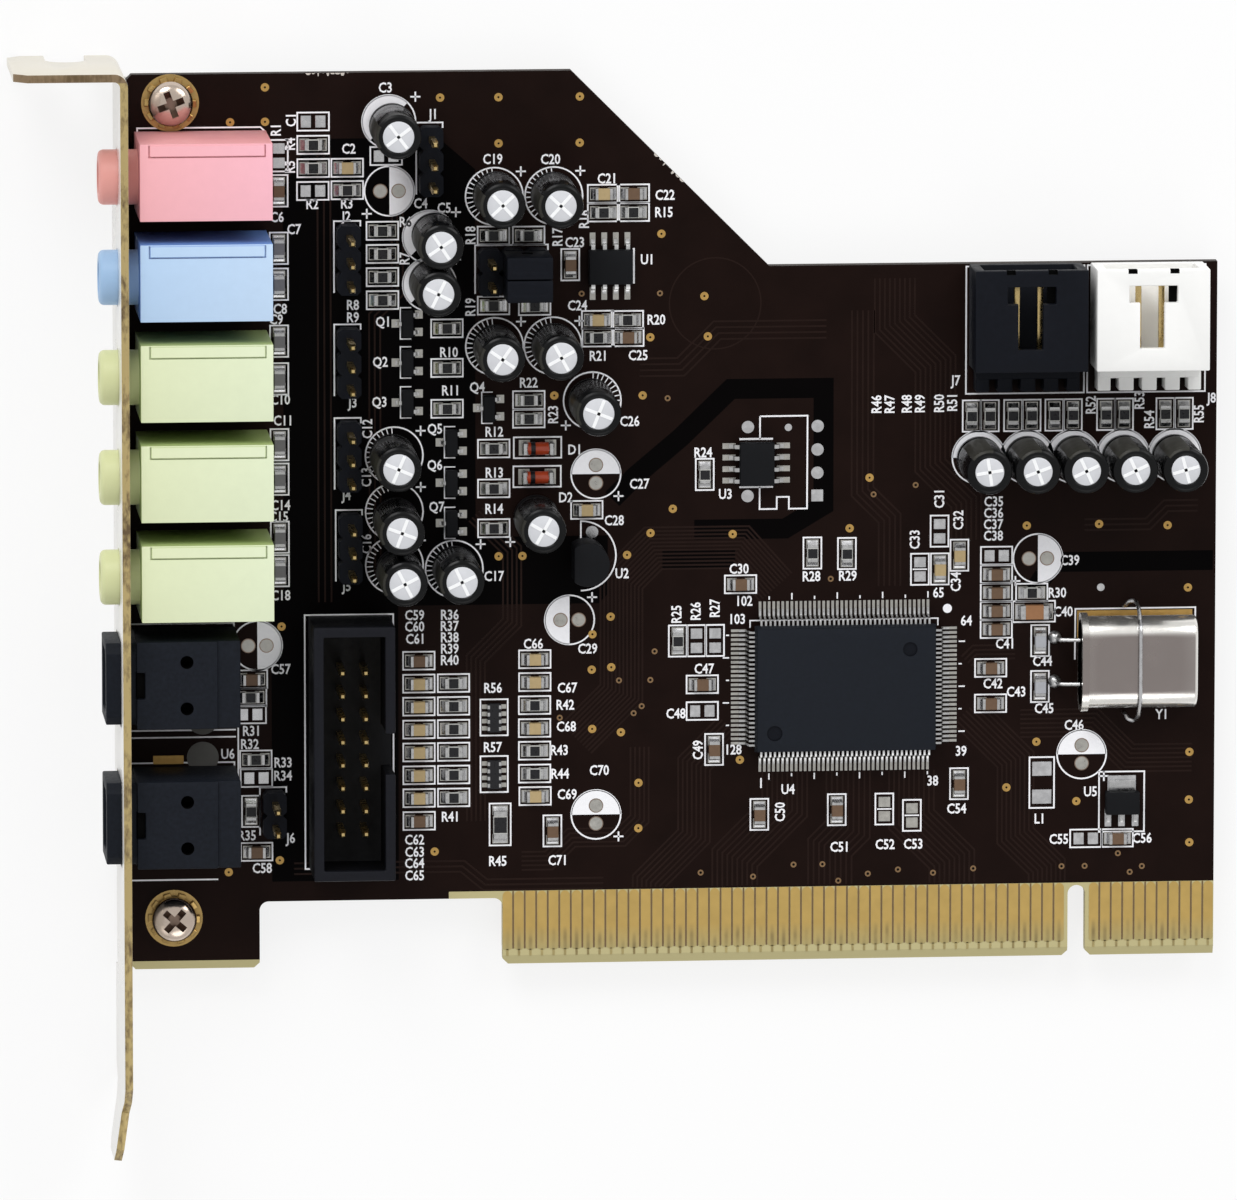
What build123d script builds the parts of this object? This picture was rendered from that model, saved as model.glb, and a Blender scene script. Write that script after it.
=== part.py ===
from build123d import *
import os

os.makedirs("parts", exist_ok=True)

# Board outline: x from the bracket end, y from the connector edge, z from the component side
BOARD_LENGTH = 119.5
BOARD_HEIGHT = 98.7
BOARD_THICKNESS = 1.6
LOW_HEIGHT = 77.0
SLOPE_START = 48.5
SLOPE_END = SLOPE_START + BOARD_HEIGHT - LOW_HEIGHT
TAB_WIDTH = 14.2
STEP_HEIGHT = 7.4
STEP_RADIUS = 1.0
CORNER_CHAMFER = 0.6
BEVEL_LENGTH = 1.0
BEVEL_DEPTH = 0.45

# Edge connector
CONTACT_PITCH = 1.27
KEY_CENTRE = 104.3
KEY_WIDTH = 1.95
KEY_TOP = 7.9
FIRST_CONTACT = KEY_CENTRE - 49.5 * CONTACT_PITCH
TONGUE_START = FIRST_CONTACT - 0.5

# Bracket sheet
SHEET = 0.86
BRACKET_GAP = 0.5
BRACKET_WIDTH = 18.42
BRACKET_BELOW = 2.6
BRACKET_TOP = 100.4
BRACKET_LENGTH = 120.0
BRACKET_BEND = 1.5
FLANGE_DEPTH = 11.43
FLANGE_CORNER = 1.5
SCREW_NOTCH_WIDTH = 4.42
SCREW_NOTCH_DEPTH = 6.5
SCREW_NOTCH_OFFSET = 5.2
TONGUE_LENGTH = 5.6
SHOULDER_LENGTH = 3.3
TONGUE_WIDTH = 10.2
TONGUE_CORNER = 1.5
TONGUE_BEND_LENGTH = 7.1
TONGUE_LEAN = 1.0
EAR_Y = (93.8, 5.7)
EAR_WIDTH = 9.0
EAR_LENGTH = 10.0
EAR_RELIEF = 1.0
EAR_RELIEF_DROP = 1.1

# Jacks
JACK_NAMES = ("mic_jack", "line_in_jack", "front_out_jack", "rear_out_jack", "bass_out_jack")
JACK_FIRST = 88.3
JACK_PITCH = 10.95
JACK_WIDTH = 8.4
JACK_FRONT = 0.85
JACK_BACK = 15.2
JACK_HEIGHT = 11.9
JACK_AXIS = 6.0
NOZZLE_DIAMETER = 6.0
NOZZLE_FRONT = -3.4
NOZZLE_CLEARANCE = 0.2
BORE_DIAMETER = 3.6
BORE_END = 11.2
SPRING_X = (1.9, 6.2, 9.8)
SPRING_WIDTH = 1.2
SPRING_SLOT = (1.2, 10.6)
SPRING_THICKNESS = 0.5
SPRING_TOP = JACK_AXIS - BORE_DIAMETER / 2 - 0.05

# Optical sockets
OPTICAL_NAMES = ("optical_in", "optical_out")
OPTICAL_Y = (33.2, 17.8)
OPTICAL_FRONT = 0.3
OPTICAL_BACK = 11.6
OPTICAL_STEP = 9.1
OPTICAL_STEP_DROP = 0.5
OPTICAL_WIDTH = 9.6
OPTICAL_HEIGHT = 10.8
NOSE_FRONT = -3.0
NOSE_WIDTH = 9.0
NOSE_BOTTOM = 0.7
NOSE_TOP = 10.0
NOSE_CHAMFER = 1.0
NOSE_CLEARANCE = 0.25
PORT_SIZE = 6.8
PORT_CHAMFER = 1.2
PORT_END = 7.8
OPTICAL_AXIS = 5.3
LATCH_LENGTH = 0.9
LATCH_WIDTH = 2.9
LATCH_DEPTH = 1.2
MODULE_FRONT = 8.3
MODULE_BACK = 11.0
MODULE_WIDTH = 5.0
MODULE_HEIGHT = 7.6
LENS_SIDE = 2.4
LENS_FRONT = 7.0

# Box header
BOX_CENTRE = (24.1, 25.05)
BOX_WIDTH = 8.9
BOX_LENGTH = 28.0
BOX_HEIGHT = 9.0
BOX_WALL = 1.1
BOX_FLOOR = 2.4
BOX_KEY = 4.5
BOX_ROWS = 8
BOX_PIN_TOP = 8.6

# Pin headers: centre of each, and its count of columns and rows
PIN_PITCH = 2.54
PIN_SIDE = 0.64
HEADER_BASE = 2.54
HEADER_PIN_TOP = 8.2
HEADERS = {
    "speaker_header_1": (24.1, 78.4),
    "speaker_header_2": (33.1, 89.1),
    "speaker_header_3": (24.1, 67.05),
    "speaker_header_4": (24.1, 56.75),
    "speaker_header_5": (24.2, 46.6),
    "digital_header": (15.8, 17.3),
    "mode_header": (42.05, 76.85),
}
HEADER_COUNTS = {name: (1, 3) for name in HEADERS}
HEADER_COUNTS["digital_header"] = (1, 2)
HEADER_COUNTS["mode_header"] = (3, 2)
CAP_LENGTH = 5.0
CAP_WIDTH = 2.4
CAP_HEIGHT = 6.2
CAP_SLOT_LENGTH = 3.4

# Internal audio sockets
AUDIO_NAMES = ("cd_socket", "aux_socket")
AUDIO_FROM_END = (21.15, 7.8)
AUDIO_X = tuple(BOARD_LENGTH - inset for inset in AUDIO_FROM_END)
AUDIO_WIDTH = 12.4
AUDIO_LENGTH = 11.2
AUDIO_FRONT = LOW_HEIGHT
AUDIO_BACK = AUDIO_FRONT - AUDIO_LENGTH
AUDIO_HEIGHT = 6.6
AUDIO_WALL = 1.1
AUDIO_COMB_WIDTH = 11.4
AUDIO_COMB_LENGTH = 2.6
AUDIO_COMB = AUDIO_BACK - AUDIO_COMB_LENGTH
AUDIO_COMB_HEIGHT = 3.0
AUDIO_COMB_SLOT = 0.9
AUDIO_BACK_WALL = 1.6
AUDIO_CAVITY_END = AUDIO_BACK + AUDIO_BACK_WALL
AUDIO_PIN_HEIGHT = 3.0
AUDIO_PIN_INSET = 1.4
AUDIO_BAR_WIDTH = 5.3
AUDIO_BAR_LENGTH = 1.9
AUDIO_BAR_INSET = 1.8
AUDIO_STEM_WIDTH = 2.45
AUDIO_STEM_LENGTH = 6.9
# Rows of chip resistors and capacitors between the sockets and the rest of the board
AUDIO_RESISTOR_ROW = AUDIO_COMB - 3.0
AUDIO_CAN_ROW = AUDIO_COMB - 7.7

# Audio controller: flat package with four rows of leads
CHIP_CENTRE = (78.5, 30.5)
CHIP_SIZE = (20.0, 14.0)
CHIP_BOTTOM = 0.3
CHIP_SEAM = 1.6
CHIP_TOP = 3.0
CHIP_DRAFT = 8.0
CHIP_PITCH = 0.5
CHIP_LEAD_COUNTS = (38, 26)
CHIP_LEAD_WIDTH = 0.2
CHIP_LEAD_REACH = 1.6
CHIP_LEAD_THICKNESS = 0.16

# Small outline packages
AMPLIFIER_CENTRE = (52.75, 77.2)
MEMORY_CENTRE = (68.8, 55.3)
SO_LENGTH = 4.9
SO_WIDTH = 3.9
SO_BOTTOM = 0.15
SO_SEAM = 0.85
SO_TOP = 1.6
SO_PITCH = 1.27
SO_LEAD_WIDTH = 0.42
SO_LEAD_REACH = 1.05
SO_LEAD_THICKNESS = 0.2

# Transistors, single lead towards the bracket
TRANSISTORS = (
    (30.55, 71.15),
    (30.55, 66.85),
    (30.55, 62.45),
    (39.45, 61.75),
    (35.35, 58.0),
    (35.35, 53.55),
    (35.35, 49.1),
)
TRANSISTOR_SIZE = (1.3, 2.9)
TRANSISTOR_HEIGHT = 1.05

# Regulators
POWER_CENTRE = (109.25, 17.15)
POWER_SIZE = (3.7, 2.5)
POWER_HEIGHT = 1.5
POWER_TAB = (2.9, 1.2)
POWER_LEAD = (0.5, 1.0)
POWER_LEAD_PITCH = 1.5
POWER_METAL = 0.4
ROUND_CENTRE = (49.8, 45.2)
ROUND_DIAMETER = 4.8
ROUND_FLAT = 1.5
ROUND_BOTTOM = 2.0
ROUND_TOP = 6.6
ROUND_LEAD = 0.45

# Crystal lying on its side under a wire strap
CRYSTAL_BASE_X = 104.3
CRYSTAL_END_X = 117.1
CRYSTAL_Y = 33.1
CRYSTAL_WIDTH = 10.2
CRYSTAL_THICKNESS = 4.5
CRYSTAL_LEAD_SPACING = 4.9
CRYSTAL_LEAD_X = 101.75
CRYSTAL_LEAD_SIDE = 0.4
STRAP_X = 110.7
STRAP_SIDE = 0.5
STRAP_REACH = 6.4
STRAP_SHOULDER = 5.9
STRAP_FLAT = 3.9
STRAP_SHOULDER_HEIGHT = 3.4

# Glass diodes
DIODES = ((44.8, 57.3), (44.75, 54.1))
DIODE_LENGTH = 3.5
DIODE_SIDE = 1.5

# Electrolytic capacitors
CAN_DIAMETER = 5.0
CAN_HEIGHT = 11.0
CAPACITORS = [
    (28.9, 92.9),
    (33.5, 80.85),
    (33.2, 75.7),
    (40.2, 85.3),
    (46.5, 85.2),
    (40.15, 68.5),
    (46.55, 68.6),
    (50.6, 62.45),
    (28.85, 56.6),
    (29.2, 49.6),
    (29.5, 44.0),
    (35.7, 44.15),
    (44.6, 49.65),
]
CAPACITORS += [(BOARD_LENGTH - inset, AUDIO_CAN_ROW) for inset in (26.2, 20.9, 15.6, 10.2, 4.7)]

# Chip parts, with their long side across the card or up it
CHIP_PART = (2.0, 1.25)
LARGE_CHIP_PART = (3.2, 1.6)
RESISTOR_HEIGHT = 0.55
CAPACITOR_HEIGHT = 0.9
RESISTORS_ACROSS = [
    (20.35, 90.85),
    (20.35, 88.3),
    (24.05, 85.85),
    (34.9, 70.55),
    (34.9, 66.2),
    (34.9, 61.7),
    (43.85, 62.55),
    (43.85, 60.5),
    (40.0, 57.25),
    (40.0, 52.85),
    (40.0, 48.45),
    (52.05, 83.1),
    (55.3, 83.1),
    (54.65, 71.25),
    (51.45, 69.35),
    (40.0, 80.7),
    (43.85, 80.65),
    (40.0, 73.0),
    (44.5, 72.9),
    (44.45, 28.8),
    (44.45, 23.75),
    (44.45, 21.2),
    (99.2, 40.55),
    (13.85, 23.2),
    (13.3, 30.1),
]
RESISTORS_ACROSS += [(27.87, 81.35 - row * PIN_PITCH) for row in range(4)]
RESISTORS_ACROSS += [(35.55, 31.37 - row * PIN_PITCH) for row in range(6)]
RESISTORS_UP = [
    (63.15, 54.1),
    (75.0, 45.25),
    (78.8, 45.15),
    (60.2, 35.7),
    (13.3, 17.45),
]
RESISTORS_UP += [
    (BOARD_LENGTH - inset, AUDIO_RESISTOR_ROW)
    for inset in (27.0, 25.0, 22.45, 20.4, 17.9, 15.85, 12.2, 10.2, 5.65, 3.6)
]
LARGE_RESISTORS_UP = [(40.65, 15.6)]
CAPACITORS_ACROSS = [
    (24.05, 88.3),
    (50.2, 50.35),
    (52.05, 85.15),
    (55.3, 85.15),
    (51.4, 71.3),
    (54.7, 69.35),
    (67.1, 41.9),
    (62.9, 30.85),
    (44.48, 33.9),
    (44.48, 31.37),
    (44.45, 26.26),
    (44.5, 18.7),
    (13.4, 32.1),
    (13.9, 12.95),
    (94.7, 32.25),
    (94.7, 28.3),
    (108.8, 13.1),
]
CAPACITORS_ACROSS += [(31.75, 33.9 - row * PIN_PITCH) for row in range(8)]
CAPACITORS_ACROSS += [(95.3, 42.65 - row * 2.03) for row in range(4)]
CAPACITORS_UP = [
    (48.4, 77.4),
    (64.2, 23.6),
    (46.4, 14.8),
    (69.2, 16.3),
    (77.75, 16.7),
    (91.25, 19.4),
    (91.2, 44.8),
    (89.05, 43.3),
    (100.15, 35.2),
    (100.15, 30.1),
]
CAPACITORS_UP += [
    (16.57, y) for y in (85.85, 79.55, 75.6, 69.35, 65.2, 57.95, 54.15, 47.75, 44.05)
]
LARGE_CAPACITORS_ACROSS = [(99.45, 38.45)]
NETWORKS = ((40.0, 27.5), (40.0, 21.2))
NETWORK_SIZE = (1.6, 3.2)

# The row's origin is the key of the connector edge, in the middle of the board's thickness
ORIGIN_X = KEY_CENTRE
HALF = BOARD_THICKNESS / 2
FOOT = 0.4
OVER = 1.0


def deck(height=0.0):
    # Plane parallel to the board, at a height above its component side
    return Plane(origin=(-ORIGIN_X, 0, HALF + height))


def facing_bracket(x, y, height):
    # Plane at x looking out of the bracket, its own x along the card's y and its own y upwards
    return Plane(origin=(x - ORIGIN_X, y, HALF + height), x_dir=(0, -1, 0), z_dir=(-1, 0, 0))


def facing_top(y):
    # Plane at y looking away from the connector edge, its own x along the card and its own y down
    return Plane(origin=(-ORIGIN_X, y, HALF), x_dir=(1, 0, 0), z_dir=(0, 1, 0))


def lead_planes(centre, reach, pitch, count, angle):
    # One upright plane per lead, its own x pointing away from the package
    outward = Vector(1, 0, 0).rotate(Axis.Z, angle)
    along = Vector(0, 1, 0).rotate(Axis.Z, angle)
    edge = Vector(centre[0] - ORIGIN_X, centre[1], HALF) + outward * reach
    starts = [edge + along * (pitch * (n - (count - 1) / 2)) for n in range(count)]
    return [Plane(origin=start, x_dir=outward, z_dir=along * -1) for start in starts]


def lead_points(reach, thickness, seam):
    # Side view of a lead that slopes from the package's seam down to its foot on the board
    return [(0, seam + thickness / 2), (0, seam - thickness / 2), (reach - FOOT * reach, 0), (reach, 0)]


def save(builder, name):
    builder.part.label = name
    export_step(builder.part, f"parts/{name}.step")


# Board
with BuildPart() as board:
    with BuildSketch(deck()) as outline:
        with BuildLine():
            Polyline(
                (KEY_CENTRE - KEY_WIDTH / 2, KEY_TOP - KEY_WIDTH / 2),
                (KEY_CENTRE - KEY_WIDTH / 2, CORNER_CHAMFER),
                (KEY_CENTRE - KEY_WIDTH / 2 - CORNER_CHAMFER, 0),
                (TONGUE_START + CORNER_CHAMFER, 0),
                (TONGUE_START, CORNER_CHAMFER),
                (TONGUE_START, STEP_HEIGHT),
                (TAB_WIDTH, STEP_HEIGHT),
                (TAB_WIDTH, CORNER_CHAMFER),
                (TAB_WIDTH - CORNER_CHAMFER, 0),
                (CORNER_CHAMFER, 0),
                (0, CORNER_CHAMFER),
                (0, BOARD_HEIGHT - CORNER_CHAMFER),
                (CORNER_CHAMFER, BOARD_HEIGHT),
                (SLOPE_START, BOARD_HEIGHT),
                (SLOPE_END, LOW_HEIGHT),
                (BOARD_LENGTH, LOW_HEIGHT),
                (BOARD_LENGTH, 0),
                (KEY_CENTRE + KEY_WIDTH / 2 + CORNER_CHAMFER, 0),
                (KEY_CENTRE + KEY_WIDTH / 2, CORNER_CHAMFER),
                (KEY_CENTRE + KEY_WIDTH / 2, KEY_TOP - KEY_WIDTH / 2),
            )
            ThreePointArc(
                (KEY_CENTRE + KEY_WIDTH / 2, KEY_TOP - KEY_WIDTH / 2),
                (KEY_CENTRE, KEY_TOP),
                (KEY_CENTRE - KEY_WIDTH / 2, KEY_TOP - KEY_WIDTH / 2),
            )
        make_face()
        inner = [
            corner
            for corner in outline.vertices()
            if abs(corner.Y - STEP_HEIGHT) < 0.01 and TAB_WIDTH - 0.1 < corner.X < TONGUE_START + 0.1
        ]
        fillet(inner, STEP_RADIUS)
    extrude(amount=-BOARD_THICKNESS)
    # Bevel that leads the connector edge into its slot
    with BuildSketch(Plane(origin=(-ORIGIN_X, 0, 0), x_dir=(0, 1, 0), z_dir=(1, 0, 0))):
        for side in (1, -1):
            with BuildLine():
                Polyline(
                    (-OVER, side * (HALF - BEVEL_DEPTH - OVER * BEVEL_DEPTH / BEVEL_LENGTH)),
                    (BEVEL_LENGTH, side * HALF),
                    (BEVEL_LENGTH, side * (HALF + OVER)),
                    (-OVER, side * (HALF + OVER)),
                    close=True,
                )
            make_face()
    extrude(amount=BOARD_LENGTH, mode=Mode.SUBTRACT)
save(board, "board")

# Bracket: bent sheet, then its plan shape, openings and screw ears
jack_y = [JACK_FIRST - JACK_PITCH * n for n in range(len(JACK_NAMES))]
BACK_EDGE = -BOARD_THICKNESS - BRACKET_BELOW
FRONT_EDGE = BACK_EDGE + BRACKET_WIDTH
MIDDLE = (BACK_EDGE + FRONT_EDGE) / 2
INNER_FACE = -BRACKET_GAP
OUTER_FACE = INNER_FACE - SHEET
FLANGE_END = OUTER_FACE - FLANGE_DEPTH
BRACKET_TIP = BRACKET_TOP - BRACKET_LENGTH
SHOULDER_BOTTOM = BRACKET_TIP + TONGUE_LENGTH
SHOULDER_TOP = SHOULDER_BOTTOM + SHOULDER_LENGTH
NOTCH_X = OUTER_FACE - SCREW_NOTCH_OFFSET
with BuildPart() as bracket:
    with BuildSketch(deck(BACK_EDGE)):
        with BuildLine() as strip:
            FilletPolyline(
                (FLANGE_END, BRACKET_TOP),
                (INNER_FACE, BRACKET_TOP),
                (INNER_FACE, BRACKET_TIP + TONGUE_BEND_LENGTH),
                radius=BRACKET_BEND,
            )
            Line((INNER_FACE, BRACKET_TIP + TONGUE_BEND_LENGTH), (INNER_FACE - TONGUE_LEAN, BRACKET_TIP))
            offset(amount=SHEET, side=Side.RIGHT)
        make_face()
    extrude(amount=BRACKET_WIDTH)
    # Shoulders down to the narrow tongue
    with BuildSketch(facing_bracket(INNER_FACE + OVER, 0, MIDDLE)):
        for side in (1, -1):
            with BuildLine():
                Polyline(
                    (-SHOULDER_TOP, side * BRACKET_WIDTH / 2),
                    (-SHOULDER_BOTTOM, side * TONGUE_WIDTH / 2),
                    (-BRACKET_TIP - TONGUE_CORNER, side * TONGUE_WIDTH / 2),
                    (-BRACKET_TIP, side * (TONGUE_WIDTH / 2 - TONGUE_CORNER)),
                    (-BRACKET_TIP + OVER, side * (TONGUE_WIDTH / 2 - TONGUE_CORNER)),
                    (-BRACKET_TIP + OVER, side * (BRACKET_WIDTH / 2 + OVER)),
                    (-SHOULDER_TOP, side * (BRACKET_WIDTH / 2 + OVER)),
                    close=True,
                )
            make_face()
    extrude(amount=2 * OVER + TONGUE_LEAN + SHEET, mode=Mode.SUBTRACT)
    # Nozzle holes and optical windows
    with BuildSketch(facing_bracket(INNER_FACE + OVER, 0, 0)):
        with Locations(*[(-y, JACK_AXIS) for y in jack_y]):
            Circle(NOZZLE_DIAMETER / 2 + NOZZLE_CLEARANCE)
        with Locations(*[(-y, (NOSE_BOTTOM + NOSE_TOP) / 2) for y in OPTICAL_Y]):
            Rectangle(NOSE_WIDTH + 2 * NOSE_CLEARANCE, NOSE_TOP - NOSE_BOTTOM + 2 * NOSE_CLEARANCE)
        with Locations(*[(-y, BACK_EDGE) for y in EAR_Y]):
            Rectangle(
                EAR_WIDTH + 2 * EAR_RELIEF,
                -BACK_EDGE - EAR_RELIEF_DROP,
                align=(Align.CENTER, Align.MIN),
            )
    extrude(amount=SHEET + 2 * OVER, mode=Mode.SUBTRACT)
    # Flange: screw notch open to the back edge, and the outer corner taken off
    with BuildSketch(facing_top(BRACKET_TOP + OVER)):
        with Locations((NOTCH_X, -BACK_EDGE - SCREW_NOTCH_DEPTH + SCREW_NOTCH_WIDTH / 2)):
            Circle(SCREW_NOTCH_WIDTH / 2)
        with Locations((NOTCH_X, -BACK_EDGE + OVER)):
            Rectangle(
                SCREW_NOTCH_WIDTH,
                SCREW_NOTCH_DEPTH - SCREW_NOTCH_WIDTH / 2 + OVER,
                align=(Align.CENTER, Align.MAX),
            )
        for edge, side in ((-FRONT_EDGE, 1), (-BACK_EDGE, -1)):
            with BuildLine():
                Polyline(
                    (FLANGE_END - OVER, edge + side * FLANGE_CORNER + side * OVER),
                    (FLANGE_END - OVER, edge - side * OVER),
                    (FLANGE_END + FLANGE_CORNER + OVER, edge - side * OVER),
                    close=True,
                )
            make_face()
    extrude(amount=-(SHEET + 2 * OVER), mode=Mode.SUBTRACT)
    # Ears folded under the board for the two screws
    for y in EAR_Y:
        with BuildSketch(facing_top(y - EAR_WIDTH / 2)):
            with BuildLine():
                Polyline(
                    (INNER_FACE, -OVER), (INNER_FACE, BOARD_THICKNESS), (EAR_LENGTH, BOARD_THICKNESS)
                )
                offset(amount=SHEET, side=Side.LEFT)
            make_face()
        extrude(amount=EAR_WIDTH)
# The strips beside the windows and beyond the screw notch are solids of their own, so each stays a simple shape
window_low = min(OPTICAL_Y) - NOSE_WIDTH / 2 - NOSE_CLEARANCE
window_high = max(OPTICAL_Y) + NOSE_WIDTH / 2 + NOSE_CLEARANCE
window_bottom = NOSE_BOTTOM - NOSE_CLEARANCE
window_top = NOSE_TOP + NOSE_CLEARANCE
with BuildPart() as strip_space:
    with BuildSketch(facing_bracket(INNER_FACE + OVER, 0, 0)):
        with Locations((-window_low, window_bottom)):
            Rectangle(window_high - window_low, BRACKET_WIDTH, align=(Align.MAX, Align.MAX))
        with Locations((-window_low, window_top)):
            Rectangle(window_high - window_low, BRACKET_WIDTH, align=(Align.MAX, Align.MIN))
    extrude(amount=SHEET + 2 * OVER)
    with BuildSketch(facing_top(BRACKET_TOP + OVER)):
        with Locations((NOTCH_X, -MIDDLE)):
            Rectangle(SCREW_NOTCH_WIDTH, BRACKET_WIDTH + 2 * OVER)
    extrude(amount=-(SHEET + 2 * OVER))
with BuildPart() as plates:
    add(bracket.part)
    add(strip_space.part, mode=Mode.SUBTRACT)
save(plates, "bracket")
with BuildPart() as strips:
    add(bracket.part)
    add(strip_space.part, mode=Mode.INTERSECT)
save(strips, "bracket_strips")

# Jacks: housing with nozzle and bore, and three springs standing in a slot under the bore
for name, y in zip(JACK_NAMES, jack_y):
    spring_places = [(x, y) for x in SPRING_X]
    with BuildPart() as jack:
        with BuildSketch(deck()):
            with Locations(((JACK_FRONT + JACK_BACK) / 2, y)):
                Rectangle(JACK_BACK - JACK_FRONT, JACK_WIDTH)
        extrude(amount=JACK_HEIGHT)
        with BuildSketch(facing_bracket(JACK_FRONT, y, JACK_AXIS)):
            Circle(NOZZLE_DIAMETER / 2)
        extrude(amount=JACK_FRONT - NOZZLE_FRONT)
        with BuildSketch(facing_bracket(BORE_END, y, JACK_AXIS)):
            Circle(BORE_DIAMETER / 2)
        extrude(amount=BORE_END - NOZZLE_FRONT, mode=Mode.SUBTRACT)
        with BuildSketch(deck()):
            with Locations((SPRING_SLOT[0], y)):
                Rectangle(
                    SPRING_SLOT[1] - SPRING_SLOT[0], SPRING_THICKNESS, align=(Align.MIN, Align.CENTER)
                )
        extrude(amount=JACK_AXIS, mode=Mode.SUBTRACT)
    save(jack, name)
    with BuildPart() as springs:
        with BuildSketch(deck()):
            with Locations(*spring_places):
                Rectangle(SPRING_WIDTH, SPRING_THICKNESS)
        extrude(amount=SPRING_TOP)
    save(springs, f"{name}_springs")

# Optical sockets: housing, and the light module behind its port
for name, y in zip(OPTICAL_NAMES, OPTICAL_Y):
    with BuildPart() as socket:
        with BuildSketch(deck()):
            with Locations(((OPTICAL_FRONT + OPTICAL_BACK) / 2, y)):
                Rectangle(OPTICAL_BACK - OPTICAL_FRONT, OPTICAL_WIDTH)
        extrude(amount=OPTICAL_HEIGHT)
        with BuildSketch(facing_bracket(OPTICAL_FRONT, y, (NOSE_BOTTOM + NOSE_TOP) / 2)) as nose:
            Rectangle(NOSE_WIDTH, NOSE_TOP - NOSE_BOTTOM)
            chamfer(nose.vertices().group_by(Axis.Y)[-1], NOSE_CHAMFER)
        extrude(amount=OPTICAL_FRONT - NOSE_FRONT)
        with BuildSketch(facing_bracket(PORT_END, y, OPTICAL_AXIS)) as port:
            Rectangle(PORT_SIZE, PORT_SIZE)
            chamfer(port.vertices().group_by(Axis.Y)[-1], PORT_CHAMFER)
        extrude(amount=PORT_END - NOSE_FRONT, mode=Mode.SUBTRACT)
        with BuildSketch(deck(OPTICAL_HEIGHT)):
            with Locations((OPTICAL_STEP, y)):
                Rectangle(OPTICAL_BACK - OPTICAL_STEP, OPTICAL_WIDTH, align=(Align.MIN, Align.CENTER))
        extrude(amount=-OPTICAL_STEP_DROP, mode=Mode.SUBTRACT)
        with BuildSketch(deck(OPTICAL_HEIGHT)):
            with Locations((OPTICAL_FRONT, y)):
                Rectangle(LATCH_LENGTH, LATCH_WIDTH, align=(Align.MIN, Align.CENTER))
        extrude(amount=-LATCH_DEPTH, mode=Mode.SUBTRACT)
        with BuildSketch(deck()):
            with Locations((MODULE_FRONT, y)):
                Rectangle(MODULE_BACK - MODULE_FRONT, MODULE_WIDTH, align=(Align.MIN, Align.CENTER))
        extrude(amount=MODULE_HEIGHT, mode=Mode.SUBTRACT)
        with BuildSketch(facing_bracket(MODULE_FRONT, y, OPTICAL_AXIS)):
            Rectangle(LENS_SIDE, LENS_SIDE)
        extrude(amount=MODULE_FRONT - PORT_END, mode=Mode.SUBTRACT)
    save(socket, f"{name}_socket")
    with BuildPart() as module:
        with BuildSketch(deck()):
            with Locations((MODULE_FRONT, y)):
                Rectangle(MODULE_BACK - MODULE_FRONT, MODULE_WIDTH, align=(Align.MIN, Align.CENTER))
        extrude(amount=MODULE_HEIGHT)
        with BuildSketch(facing_bracket(MODULE_FRONT, y, OPTICAL_AXIS)):
            Rectangle(LENS_SIDE, LENS_SIDE)
        extrude(amount=MODULE_FRONT - LENS_FRONT)
    save(module, f"{name}_module")

# Box header with a key gap in the wall away from the bracket
with BuildPart() as shroud:
    with BuildSketch(deck()):
        with Locations(BOX_CENTRE):
            Rectangle(BOX_WIDTH, BOX_LENGTH)
    extrude(amount=BOX_HEIGHT)
    with BuildSketch(deck(BOX_FLOOR)):
        with Locations(BOX_CENTRE):
            Rectangle(BOX_WIDTH - 2 * BOX_WALL, BOX_LENGTH - 2 * BOX_WALL)
            Rectangle(BOX_WIDTH, BOX_KEY, align=(Align.MIN, Align.CENTER))
    extrude(amount=BOX_HEIGHT, mode=Mode.SUBTRACT)
save(shroud, "box_header")
with BuildPart() as box_pins:
    with BuildSketch(deck(BOX_FLOOR)):
        with Locations(BOX_CENTRE):
            with GridLocations(PIN_PITCH, PIN_PITCH, 2, BOX_ROWS):
                Rectangle(PIN_SIDE, PIN_SIDE)
    extrude(amount=BOX_PIN_TOP - BOX_FLOOR)
save(box_pins, "box_header_pins")

# Pin headers: bases, and every pin that stands in them
for name, centre in HEADERS.items():
    columns, rows = HEADER_COUNTS[name]
    with BuildPart() as base:
        with BuildSketch(deck()):
            with Locations(centre):
                Rectangle(columns * PIN_PITCH, rows * PIN_PITCH)
        extrude(amount=HEADER_BASE)
    save(base, name)
with BuildPart() as header_pins:
    with BuildSketch(deck(HEADER_BASE)):
        for name, centre in HEADERS.items():
            with Locations(centre):
                with GridLocations(PIN_PITCH, PIN_PITCH, *HEADER_COUNTS[name]):
                    Rectangle(PIN_SIDE, PIN_SIDE)
    extrude(amount=HEADER_PIN_TOP - HEADER_BASE)
save(header_pins, "header_pins")

# Jumper caps pressed on two columns of the mode header
mode_x, mode_y = HEADERS["mode_header"]
with BuildPart() as jumper_caps:
    with BuildSketch(deck(HEADER_BASE)):
        with Locations((mode_x + PIN_PITCH / 2, mode_y)):
            with GridLocations(0, PIN_PITCH, 1, 2):
                Rectangle(CAP_LENGTH, CAP_WIDTH)
    extrude(amount=CAP_HEIGHT)
    with BuildSketch(deck(HEADER_BASE)):
        with Locations((mode_x + PIN_PITCH / 2, mode_y)):
            with GridLocations(0, PIN_PITCH, 1, 2):
                Rectangle(CAP_SLOT_LENGTH, PIN_SIDE)
    extrude(amount=CAP_HEIGHT, mode=Mode.SUBTRACT)
save(jumper_caps, "jumper_caps")

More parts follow.
